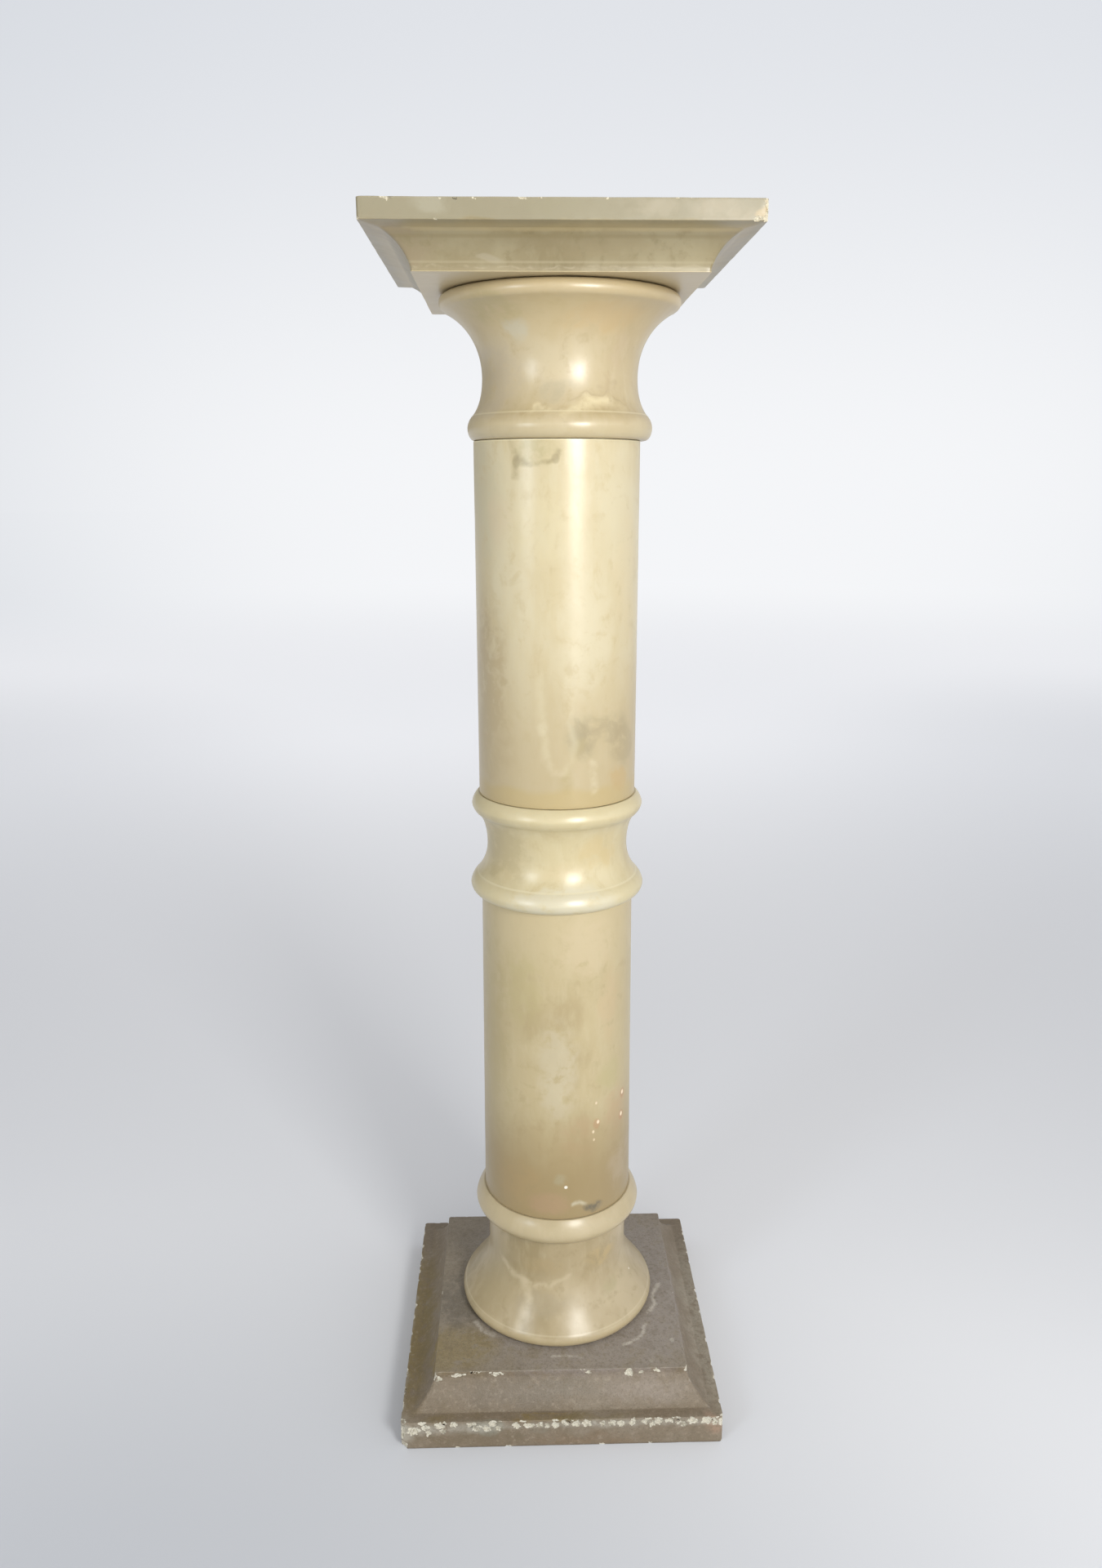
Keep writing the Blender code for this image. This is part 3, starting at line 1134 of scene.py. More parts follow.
@dataclass
class MouldedSlab(DressedStone):
    """A square slab with a moulding worked on its four sides."""

    flakes: ChipSet
    corner: float = 0.003
    corner_steps: int = 6
    cuts: int = 96
    easing: float = 0.0007
    waver: float = 0.0004
    waver_width: float = 0.02
    hollow_steps: int = 18
    face_stride: float = 0.0016

    def build(self) -> bpy.types.Object:
        """Draw the slab up at its place, wear it and dress it.

        Returns:
            The finished slab.
        """
        seat = self.stone.seat
        side = self.outline().eased(self.easing)
        start = side.points[0][0]
        widest = max(point[0] for point in side.points)
        Workbench.clear()
        bpy.ops.mesh.primitive_plane_add(size=2 * start, location=seat)
        bpy.ops.object.mode_set(mode="EDIT")
        bpy.ops.mesh.bevel(offset=self.corner * start / widest, segments=self.corner_steps,
                           affect="VERTICES")
        bpy.ops.mesh.select_all(action="SELECT")
        Workbench.draw_up(side, seat)
        self.split_long_edges(seat)
        piece = self.dress(self.waver, self.waver_width)
        self.flakes.cut(piece)
        return piece

    def split_long_edges(self, seat: Vector) -> None:
        """Divide the edges that run along the sides of the slab that is being edited.

        Args:
            seat: the middle of the slab's underside.
        """
        bpy.ops.mesh.select_mode(type="EDGE")
        bpy.ops.mesh.select_all(action="DESELECT")
        bpy.ops.object.mode_set(mode="OBJECT")
        piece = bpy.context.object
        middle = piece.matrix_world.inverted() @ seat
        # A side of a ring is twice its reach long, but for the round corners
        side_share = 1.5
        for edge in piece.data.edges:
            one, other = (piece.data.vertices[index].co - middle for index in edge.vertices)
            reach = max(abs(part) for end in (one, other) for part in end.xy)
            edge.select = (one - other).length > side_share * reach
        bpy.ops.object.mode_set(mode="EDIT")
        bpy.ops.mesh.subdivide(number_cuts=self.cuts)
        bpy.ops.mesh.select_mode(type="VERT")


@dataclass
class BaseSlab(MouldedSlab):
    """The grey-brown base: straight face, ledge, hollow, fillet and a flat top."""

    face_reach: float = 0.1409
    face_height: float = 0.0270
    ledge: float = 0.0106
    hollow_run: float = 0.0178
    hollow_rise: float = 0.0213
    hollow_depth: float = 0.0024
    fillet: float = 0.0057
    under_start: float = 0.010
    over_end: float = 0.020
    under_stride: float = 0.02
    fillet_stride: float = 0.0014
    over_stride: float = 0.004

    def outline(self) -> Outline:
        """The base's side, run in over its top."""
        foot, shoulder = (self.face_reach, 0.0), (self.face_reach, self.face_height)
        ledge_in = (self.face_reach - self.ledge, self.face_height)
        hollow_top = (ledge_in[0] - self.hollow_run, self.face_height + self.hollow_rise)
        top = (hollow_top[0], hollow_top[1] + self.fillet)
        return Outline.through(
            straight((self.under_start, 0.0), foot, self.under_stride),
            straight(foot, shoulder, self.face_stride),
            straight(shoulder, ledge_in, self.face_stride),
            arc(ledge_in, hollow_top, self.hollow_depth, self.hollow_steps),
            straight(hollow_top, top, self.fillet_stride),
            straight(top, (self.over_end, top[1]), self.over_stride),
        )


@dataclass
class TopSlab(MouldedSlab):
    """The table slab: straight face, chamfer, hollow, fillet and a flat underside."""

    underside_reach: float = 0.1059
    fillet: float = 0.0027
    hollow_run: float = 0.0191
    hollow_rise: float = 0.0220
    hollow_depth: float = 0.0033
    ledge: float = 0.0129
    ledge_rise: float = 0.0022
    face_height: float = 0.0143
    under_start: float = 0.020
    over_end: float = 0.004
    under_stride: float = 0.006
    fillet_stride: float = 0.0012
    over_stride: float = 0.005

    def outline(self) -> Outline:
        """The table slab's side, run in under it and over its top."""
        foot, fillet_top = (self.underside_reach, 0.0), (self.underside_reach, self.fillet)
        hollow_top = (self.underside_reach + self.hollow_run, self.fillet + self.hollow_rise)
        face_foot = (hollow_top[0] + self.ledge, hollow_top[1] + self.ledge_rise)
        top = (face_foot[0], face_foot[1] + self.face_height)
        return Outline.through(
            straight((self.under_start, 0.0), foot, self.under_stride),
            straight(foot, fillet_top, self.fillet_stride),
            arc(fillet_top, hollow_top, self.hollow_depth, self.hollow_steps),
            straight(hollow_top, face_foot, self.face_stride),
            straight(face_foot, top, self.face_stride),
            straight(top, (self.over_end, top[1]), self.over_stride),
        )


@dataclass(frozen=True)
class SoftLight:
    """A rectangular studio light that looks at one point."""

    name: str
    place: Place
    width: float
    height: float
    power: float
    colour: Colour
    aim: Place = (0.0, 0.0, 0.62)

    def hang(self) -> None:
        """Hang the light at its place and aim it."""
        lamp = bpy.data.lights.new(self.name, "AREA")
        lamp.shape = "RECTANGLE"
        lamp.size = self.width
        lamp.size_y = self.height
        lamp.energy = self.power
        lamp.color = self.colour
        light = bpy.data.objects.new(self.name, lamp)
        bpy.context.scene.collection.objects.link(light)
        light.location = self.place
        look = Vector(self.aim) - Vector(self.place)
        light.rotation_euler = look.to_track_quat("-Z", "Y").to_euler()


@dataclass
class Studio:
    """The pale floor, the soft light and the camera."""

    floor_reach: float = 40.0
    floor_steps: int = 96
    floor: Colour = (0.85, 0.865, 0.90)
    floor_dullness: float = 0.8
    floor_gloss: float = 0.2
    # Painted shade on the floor: a shadow in front of the camera and darker sides
    shade: Colour = (0.57, 0.59, 0.63)
    shade_middle: Place = (-0.35, -0.85, 0.0)
    shade_reach: Place = (1.3, 1.1, 1.0)
    floor_side_shade: Colour = (0.66, 0.68, 0.72)
    side_shade_middle: Place = (2.3, 0.9, 0.0)
    side_shade_reach: Place = (2.1, 3.6, 1.0)
    # The floor glows more away from the stones: painted light
    floor_glow: float = 0.37
    floor_glow_reach: Place = (3.0, 3.0, 3.0)
    fade_reach: Place = (14.0, 14.0, 14.0)
    fade_start: float = 0.76
    fade_full: float = 0.35
    sky: Colour = (0.91, 0.92, 0.94)
    sky_top: Colour = (0.76, 0.78, 0.82)
    sky_top_height: float = 0.36
    sky_middle: Place = (0.12, 1.0, 0.02)
    sky_sides: Colour = (0.62, 0.65, 0.70)
    sky_sides_start: float = 0.99
    sky_sides_full: float = 0.78
    sky_sides_share: float = 0.6
    ceiling: Colour = (0.47, 0.47, 0.48)
    ceiling_start: float = 0.3
    ceiling_full: float = 0.6
    front_left: Colour = (1.22, 1.15, 1.01)
    front_right: Colour = (1.75, 1.75, 1.75)
    back_left: Colour = (0.34, 0.33, 0.30)
    back_right: Colour = (0.76, 0.76, 0.77)
    wall_turn: float = 0.7
    camera_place: Place = (-0.0315, -0.9741, 0.8148)
    camera_pitch: float = 75.47
    camera_pan: float = -1.546
    camera_roll: float = -0.094
    lens: float = 26.51
    sensor_width: float = 36.0

    def lay_floor(self) -> None:
        """Lay the floor, darker towards the camera, which fades into the backdrop far away."""
        Workbench.clear()
        bpy.ops.mesh.primitive_circle_add(vertices=self.floor_steps, radius=self.floor_reach,
                                          fill_type="NGON")
        floor = bpy.context.object
        floor.name = floor.data.name = "floor"
        bench = MaterialBench("floor_finish")
        colour = self.floor_colour(bench)
        # Emission rising away from the stones: a painted glow on the floor
        near = bench.nearness(ORIGIN, self.floor_glow_reach, bench.place)
        inputs = bench.shader.inputs
        bench.feed(inputs["Emission Color"], colour)
        bench.feed(inputs["Emission Strength"], bench.step(near, 1.0, 0.0, self.floor_glow))
        inputs["Specular IOR Level"].default_value = self.floor_gloss
        floor.data.materials.append(bench.finish(colour, self.floor_dullness))
        self.fade_floor(bench)

    def fade_floor(self, bench: MaterialBench) -> None:
        """Let the far floor turn into the backdrop.

        Args:
            bench: the floor's bench.
        """
        way = bench.vector("NORMALIZE", bench.place).outputs[0]
        backdrop = bench.blend(self.sky, self.sky_sides, self.aside(bench, way))
        distant = bench.node("ShaderNodeEmission", {"Color": backdrop}).outputs[0]
        far = bench.nearness(ORIGIN, self.fade_reach, bench.place)
        share = bench.step(far, self.fade_start, self.fade_full)
        whole = bench.node("ShaderNodeMixShader",
                           {0: share, 1: bench.shader.outputs[0], 2: distant}).outputs[0]
        bench.feed(bench.tree.nodes["Material Output"].inputs[0], whole)

    def floor_colour(self, bench: MaterialBench) -> Socket:
        """The floor's colour, with painted shade in front of the camera and out at its sides.

        Args:
            bench: the floor's bench.

        Returns:
            The colour's output.
        """
        x, y, z = self.side_shade_middle
        shade = bench.nearness(self.shade_middle, self.shade_reach, bench.place)
        left, right = (bench.nearness((middle, y, z), self.side_shade_reach, bench.place)
                       for middle in (-x, x))
        return bench.coat(self.floor, (
            (self.shade, shade, 0.0, 0.55, 1.0),
            (self.floor_side_shade, left, 0.0, 0.6, 0.8),
            (self.floor_side_shade, right, 0.0, 0.6, 0.8),
        ))

    def aside(self, bench: NodeBench, way: Socket) -> Socket:
        """How much the backdrop takes the colour of its sides in one direction.

        Args:
            bench: the bench to lay the nodes on.
            way: the direction's output, a vector that is 1 long.

        Returns:
            The share's output.
        """
        middle = Vector(self.sky_middle).normalized()
        turned = bench.vector("DOT_PRODUCT", way, tuple(middle)).outputs[1]
        return bench.step(turned, self.sky_sides_start, self.sky_sides_full, self.sky_sides_share)

    def surround(self) -> None:
        """Set the studio's walls: what the camera sees, and what lights the stones."""
        world = bpy.data.worlds.new("pale_studio")
        bpy.context.scene.world = world
        world.use_nodes = True
        bench = NodeBench(world.node_tree, "Generated")
        parts = bench.node("ShaderNodeSeparateXYZ", {0: bench.place}).outputs
        right, back = (bench.step(part, -self.wall_turn, self.wall_turn) for part in parts[:2])
        front_wall = bench.blend(self.front_left, self.front_right, right)
        back_wall = bench.blend(self.back_left, self.back_right, right)
        overhead = bench.step(parts[2], self.ceiling_start, self.ceiling_full)
        light = bench.blend(bench.blend(front_wall, back_wall, back), self.ceiling, overhead)
        high = bench.step(parts[2], 0.0, self.sky_top_height)
        seen = bench.blend(self.sky, self.sky_top, high)
        seen = bench.blend(seen, self.sky_sides, self.aside(bench, bench.place))
        view = bench.node("ShaderNodeLightPath").outputs["Is Camera Ray"]
        bench.feed(world.node_tree.nodes["Background"].inputs["Color"],
                   bench.blend(light, seen, view))

    def set_camera(self) -> None:
        """Put the camera where the photograph was taken from."""
        eye = bpy.data.cameras.new("camera")
        eye.lens = self.lens
        eye.sensor_width = self.sensor_width
        eye.sensor_fit = "AUTO"
        camera = bpy.data.objects.new("camera", eye)
        bpy.context.scene.collection.objects.link(camera)
        camera.matrix_world = (Matrix.Translation(self.camera_place)
                               @ Matrix.Rotation(math.radians(self.camera_pan), 4, "Z")
                               @ Matrix.Rotation(math.radians(self.camera_pitch), 4, "X")
                               @ Matrix.Rotation(math.radians(self.camera_roll), 4, "Z"))
        bpy.context.scene.camera = camera

    def build(self) -> None:
        """Set up the whole studio."""
        self.lay_floor()
        self.surround()
        warm, cool = (1.0, 0.99, 0.96), (0.80, 0.90, 1.0)
        for light in (
            SoftLight("key", (0.50, -1.11, 1.00), 0.32, 0.34, 8.5, warm),
            SoftLight("apron", (0.52, -1.14, 0.78), 0.32, 0.16, 1.2, warm),
            SoftLight("skirt", (0.54, -1.16, 0.46), 0.26, 0.50, 0.6, warm),
            SoftLight("window", (-1.00, -1.14, 0.95), 0.28, 0.36, 4.0, cool),
        ):
            light.hang()
        self.set_camera()
        bpy.context.scene.view_settings.view_transform = "Standard"


def base_slab_finish() -> WornFinish:
    """The base's dull grey-lilac top, stained brown face and worn edges."""
    lilac, olive, line = (0.315, 0.278, 0.272), (0.205, 0.152, 0.053), (0.80, 0.75, 0.68)
    frost = (0.47, 0.45, 0.39)
    return WornFinish((0.255, 0.215, 0.162), (0.207, 0.163, 0.112), (0.154, 0.12, 0.075), (
        Patch((-138, -20, 30), (30, 150, 60), olive, 0.85),
        Patch((140, -20, 28), (22, 170, 60), (0.36, 0.32, 0.25), 0.9),
        Patch((30, 0, 58), (170, 150, 24), lilac, 0.8, 0.4),
        Patch((-96, -82, 56), (48, 40, 22), (0.225, 0.155, 0.026), 0.92, 0.55),
        Patch((-100, 10, 56), (34, 80, 18), (0.185, 0.142, 0.083), 0.8),
        Patch((-92, -18, 56), (36, 56, 18), (0.085, 0.07, 0.052), 0.9),
        Patch((-40, -120, 40), (80, 20, 22), (0.175, 0.145, 0.11), 0.6),
        Patch((0, -118, 38), (60, 16, 14), (0.20, 0.17, 0.13), 0.6),
        Patch((75, -122, 42), (60, 18, 18), (0.282, 0.237, 0.195), 0.7),
        Patch((-20, -136, 30), (44, 9, 6), (0.22, 0.155, 0.042), 0.85),
        Patch((15, -136, 32), (80, 9, 9), (0.202, 0.155, 0.066), 0.8),
        Patch((-95, -136, 31), (38, 9, 8), (0.194, 0.146, 0.062), 0.8),
        Patch((-80, -141, 10), (80, 8, 16), (0.165, 0.125, 0.075), 0.7),
        Patch((20, -141, 6), (70, 8, 10), (0.20, 0.14, 0.085), 0.7),
        Patch((-66, -141, 20), (26, 4, 9), (0.255, 0.258, 0.207), 0.7),
        Patch((-28, -141, 20), (24, 4, 8), (0.264, 0.258, 0.207), 0.7),
        Patch((134, -140, 20), (14, 8, 16), (0.37, 0.241, 0.166), 0.7),
        Streak(((-141, -141, 19), (-70, -141, 21)), 8.0, frost, 0.6),
        Streak(((-70, -141, 21), (30, -141, 22)), 4.5, frost, 0.4),
        Streak(((30, -141, 22), (141, -141, 22)), 6.5, frost, 0.5),
        Patch((-139, -139, 16), (14, 12, 18), frost, 0.6),
        Streak(((-141, -141, 25), (-141, 20, 26)), 3.5, frost, 0.4),
        Streak(((100, -0.4, 54), (92, -20, 54), (93, -30, 54), (86, -41, 54)), 3.4, line, 1.0),
        Streak(((82, -56, 54), (78, -67, 54), (72, -76, 54), (60, -83, 54)), 3.2, line, 1.0),
        Streak(((-8, -96, 54), (18.5, -97, 54)), 2.2, line, 0.8),
        Streak(((-78, -49, 54), (-72, -60, 54), (-61, -67, 54)), 4.0, line, 0.7),
        # Pale lines on the top arrises and the mitres: painted highlights over some wear
        Streak(((-112, -112.5, 54), (-20, -112.5, 54)), 1.4, (0.37, 0.344, 0.274), 0.5),
        Streak(((20, -112.5, 54), (112, -112.5, 54), (112.5, -30, 54)), 1.2, (0.405, 0.361, 0.315),
               0.5),
        Streak(((130.3, -130.3, 27), (121, -121, 30), (112.5, -112.5, 48)), 1.3,
               (0.422, 0.378, 0.315), 0.7),
        Streak(((-130.3, -130.3, 27), (-121, -121, 30), (-112.5, -112.5, 48)), 1.0,
               (0.317, 0.267, 0.207), 0.6),
        Streak(((-45, -133, 27), (5, -133, 27)), 1.5, (0.238, 0.163, 0.042), 0.6),
        Patch((103, -78, 54), (2.6, 3.6, 3), (0.546, 0.516, 0.457), 0.9),
        Patch((81, -104, 54), (2.4, 2.4, 3), (0.458, 0.43, 0.365), 0.8),
        # Pale ring round the top arris: wear with a painted highlight
        Ring(54.0, 0.8, (0.352, 0.318, 0.257), 0.4),
        # Dark band round the foot, where the base stands on the floor: painted shade
        Ring(0.0, 2.5, (0.114, 0.09, 0.066), 0.6),
    ))


def foot_finish() -> OnyxFinish:
    """The foot's cream-olive onyx with its thin pale vein and pale rim."""
    pale = (0.506, 0.424, 0.273)
    return OnyxFinish((0.451, 0.371, 0.232), (0.387, 0.309, 0.178), (0.314, 0.247, 0.128), (
        Patch((-62, -44, 100), (40, 44, 46), (0.35, 0.285, 0.155), 0.5),
        Patch((-12, -68, 88), (34, 24, 13), (0.332, 0.273, 0.166), 0.6),
        Patch((39, -49, 125), (26, 18, 13), (0.451, 0.336, 0.157), 0.65),
        Patch((50, -49, 90), (16, 14, 10), (0.351, 0.3, 0.157), 0.6),
        Patch((-20, -62, 122), (30, 14, 12), (0.387, 0.292, 0.149), 0.5),
        Streak(((-53, -35, 113), (-45.6, -44.5, 107.8), (-32, -55.8, 102.9), (-21.7, -61, 100.6),
                (-7.4, -63.7, 102.4), (9.2, -61.8, 112.6)), 4.5, pale, 0.75),
        Streak(((-32, -57, 101), (-28.1, -63.3, 90.6), (-34.4, -71.5, 75.6),
                (-38.8, -76.2, 67.5)), 7.0, pale, 0.75),
        Patch((68, -23, 89), (1.4, 1.4, 1.4), (0.692, 0.636, 0.513), 0.9),
        Level(68.0, 62.0, (0.479, 0.397, 0.24), 0.6),
        Level(149.0, 156.0, (0.506, 0.424, 0.265), 0.6),
        # Pale line round the rim's arris: painted highlight
        Ring(66.4, 0.9, (0.571, 0.495, 0.331), 0.35),
        # Dark band round the foot's lowest edge, where it sits on the base: painted shade
        Ring(54.4, 1.6, (0.239, 0.185, 0.107), 0.5),
    ))


def lower_drum_finish() -> OnyxFinish:
    """The lower drum's beige onyx, browner downwards, with sparkling specks."""
    speck, rust = (0.86, 0.72, 0.52), (0.40, 0.21, 0.10)
    specks = (((58, -32.5, 282.1), 2.3, 2.8, 0.95), ((57, -34.2, 261.1), 2.3, 2.8, 0.95),
              ((34.7, -55.6, 265.6), 1.8, 2.4, 0.8), ((30.4, -58.0, 257.1), 1.5, 2.0, 0.6),
              ((32.9, -56.6, 284.7), 1.4, 1.8, 0.5), ((31.0, -57.6, 249.0), 1.3, 1.8, 0.45))
    return OnyxFinish((0.497, 0.424, 0.257), (0.451, 0.37, 0.209), (0.387, 0.307, 0.163), (
        Level(395.0, 455.0, (0.489, 0.406, 0.24), 0.7),
        Patch((-60, -28, 320), (34, 44, 190), (0.36, 0.288, 0.135), 0.5),
        Patch((60, -28, 330), (24, 34, 110), (0.39, 0.31, 0.16), 0.4),
        Patch((24, -60, 434), (36, 30, 36), (0.525, 0.433, 0.273), 0.6),
        Patch((-32, -56, 395), (26, 26, 48), (0.415, 0.351, 0.171), 0.5),
        Patch((44, -48, 380), (14, 24, 44), (0.479, 0.361, 0.206), 0.5),
        Patch((46, -47, 308), (18, 22, 24), (0.415, 0.361, 0.179), 0.6),
        Patch((-2, -65, 318), (26, 14, 70), (0.53, 0.485, 0.37), 0.36),
        Patch((52, -41, 266), (20, 26, 34), (0.461, 0.325, 0.188), 0.55),
        Patch((18, -63, 253), (26, 16, 26), (0.443, 0.315, 0.179), 0.55),
        Level(305.0, 205.0, (0.297, 0.217, 0.098), 0.88),
        Patch((-38, -54, 205), (30, 24, 34), (0.341, 0.244, 0.112), 0.7),
        Patch((-11, -65, 188), (24, 14, 14), (0.369, 0.244, 0.137), 0.6),
        Patch((1, -66, 212), (11, 8, 8), (0.36, 0.32, 0.20), 0.5),
        Patch((55, -30, 212), (18, 34, 26), (0.378, 0.298, 0.188), 0.6),
        Streak(((12, -64.4, 187), (18, -63, 189.5), (24, -61, 187)), 3.4, (0.52, 0.47, 0.34), 0.75),
        Patch((31, -58.4, 182.5), (12.5, 9, 7.5), (0.138, 0.117, 0.077), 0.95),
        Patch((40, -52, 180), (12, 9, 5), (0.258, 0.207, 0.128), 0.6),
        Patch((58, -32.5, 281), (4.5, 5, 6.5), rust, 0.6),
        Patch((57, -34.2, 260), (4.5, 5, 6.5), rust, 0.6),
        Patch((33.5, -56.5, 264), (5, 4, 6.5), rust, 0.45),
        *(Patch(place, (wide, wide, high), speck, share) for place, wide, high, share in specks),
        Patch((5.8, -65.2, 206.2), (2.0, 2.0, 2.0), (0.783, 0.749, 0.65), 0.95),
        Ring(174.2, 1.2, (0.313, 0.225, 0.12), 0.4),
    ))


def collar_finish() -> OnyxFinish:
    """The collar's greenish cream onyx, warmer on the right of its waist."""
    return OnyxFinish((0.562, 0.493, 0.316), (0.518, 0.441, 0.258), (0.465, 0.381, 0.21), (
        Patch((-52, -38, 514), (40, 46, 44), (0.40, 0.33, 0.18), 0.7),
        Patch((36, -52, 515), (30, 24, 24), (0.509, 0.398, 0.198), 0.6),
        Patch((0, -60, 500), (24, 14, 14), (0.536, 0.441, 0.261), 0.4),
        Level(489.0, 480.0, (0.544, 0.476, 0.293), 0.6),
        Level(543.0, 550.0, (0.554, 0.484, 0.301), 0.6),
        # Pale band across the front of the lower bead's belly: a painted reflection
        Patch((0, -72, 476), (80, 30, 20), (0.575, 0.55, 0.45), 0.5),
        # Pale lines round the beads' arrises: wear with painted highlights
        Ring(485.0, 1.0, (0.625, 0.562, 0.38), 0.6),
        Ring(540.7, 1.0, (0.607, 0.536, 0.348), 0.6),
    ))


def upper_drum_finish() -> OnyxFinish:
    """The upper drum's pale cream onyx with grey veins at its top and a grey cloud below."""
    vein, pale = (0.27, 0.215, 0.105), (0.60, 0.54, 0.37)
    return OnyxFinish((0.544, 0.48, 0.318), (0.506, 0.426, 0.255), (0.458, 0.373, 0.207), (
        Patch((-57, -33, 800), (26, 40, 60), (0.475, 0.422, 0.273), 0.6),
        Patch((-46, -47, 789), (16, 18, 26), (0.536, 0.431, 0.281), 0.4),
        Patch((-58, -32, 640), (36, 44, 110), (0.37, 0.28, 0.145), 0.8),
        Level(730.0, 585.0, (0.42, 0.34, 0.2), 0.75),
        Patch((-13, -64, 785), (34, 20, 44), (0.553, 0.48, 0.296), 0.5),
        Patch((22, -61, 710), (34, 26, 70), (0.561, 0.497, 0.341), 0.5),
        Patch((57, -34, 747), (24, 34, 70), (0.536, 0.447, 0.273), 0.5),
        Patch((-19, -62, 842), (28, 16, 17), (0.40, 0.34, 0.18), 0.85, 0.9),
        Streak(((-36.3, -54.4, 846), (-35.5, -55.2, 839), (-33.3, -56.3, 833.9),
                (-34, -55.9, 820)), 4.2, vein, 0.5),
        Streak(((-33.3, -56.3, 833.9), (-25.2, -60.2, 830.2), (-15.9, -63.1, 829.6),
                (-8.5, -64.5, 831.3), (-2.9, -64.9, 834.9), (-1.7, -65, 840)), 3.8, vein, 0.65),
        Patch((-3.2, -65, 834), (4, 3, 5), (0.25, 0.20, 0.10), 0.5),
        Patch((-33, -56.4, 832), (4.5, 4, 6.5), (0.27, 0.22, 0.11), 0.5),
        Patch((36, -52, 620), (46, 36, 22), (0.345, 0.285, 0.168), 0.72, 1.0),
        Patch((17, -62.8, 614), (18, 12, 22), (0.30, 0.25, 0.14), 0.7, 1.0),
        Patch((54, -38, 608), (22, 26, 26), (0.34, 0.275, 0.155), 0.65),
        Streak(((17, -63, 612), (12.9, -63.7, 602.5), (8.3, -64.6, 589), (5, -64.8, 574)), 8.0,
               (0.371, 0.298, 0.14), 0.55),
        Streak(((-13, -63.8, 626), (-12.2, -63.9, 616), (-10.3, -64.2, 599), (-5.7, -64.7, 588),
                (2.9, -64.9, 588), (10.5, -64.1, 598), (11.5, -63.9, 612), (7.5, -64.6, 633),
                (7.4, -64.6, 664)), 6.0, pale, 0.3),
        Streak(((-15.3, -63.2, 668), (-15.3, -63.2, 640), (-13, -63.8, 622)), 6.5, pale, 0.3),
        Level(577.0, 568.0, (0.432, 0.331, 0.148), 0.65),
        Patch((49, -44, 578), (20, 20, 13), (0.44, 0.31, 0.135), 0.6),
        Streak(((27.9, -59, 594), (29, -58.4, 572)), 6.0, pale, 0.4),
        # Pale line round the top arris, at the joint with the capital: painted highlight
        Ring(848.2, 0.9, (0.674, 0.596, 0.384), 0.7),
    ))


def capital_finish() -> OnyxFinish:
    """The capital's honey onyx, grey-lilac on the left, with a pale cloud low on the right."""
    pale, vein = (0.66, 0.575, 0.37), (0.33, 0.26, 0.15)
    return OnyxFinish((0.489, 0.412, 0.264), (0.439, 0.357, 0.208), (0.381, 0.297, 0.165), (
        Patch((-52, -40, 895), (38, 44, 38), (0.406, 0.34, 0.234), 0.7),
        Level(912.0, 934.0, (0.456, 0.357, 0.19), 0.65),
        Patch((34, -64, 934), (46, 36, 16), (0.464, 0.335, 0.165), 0.5),
        Patch((-50, -60, 944), (40, 36, 18), (0.37, 0.30, 0.14), 0.6),
        # Pale grey spot on the bell's left: a painted reflection of the window light
        Patch((-33.6, -58.9, 928), (12, 14, 12), (0.464, 0.444, 0.351), 0.5),
        Level(945.0, 952.0, (0.472, 0.38, 0.227), 0.6),
        Patch((45, -44, 915), (16, 18, 20), (0.431, 0.34, 0.212), 0.5),
        Patch((-4, -64, 886), (26, 14, 12), (0.33, 0.285, 0.19), 0.5),
        Streak(((22, -60, 877), (16, -63, 871), (4, -66, 864)), 7.0, pale, 0.75),
        Streak(((26, -57, 874), (38, -50, 875), (46, -45, 868)), 8.0, pale, 0.85),
        Streak(((14, -64, 868), (30, -58, 866), (48, -46, 862)), 6.0, pale, 0.8),
        Streak(((-1.8, -68.6, 868), (8.8, -63.3, 876.5), (21.4, -58.7, 882.5), (32, -54, 879.5),
                (37.4, -50.3, 885), (46, -46, 878), (53.9, -41.6, 871)), 1.6, vein, 0.5),
        Streak(((-24, -61, 868), (-16, -63, 873), (-9, -66, 868)), 3.5, pale, 0.65),
        Patch((31, -53, 886), (7, 5, 3.5), vein, 0.4),
        Patch((43, -48, 892), (7.2, 6, 4), vein, 0.35),
        Level(864.0, 860.0, (0.48, 0.404, 0.248), 0.5),
        # Pale line round the ring's arris: wear with a painted highlight
        Ring(868.4, 1.0, (0.629, 0.554, 0.365), 0.6),
        Ring(849.6, 1.0, (0.464, 0.365, 0.205), 0.5),
    ))


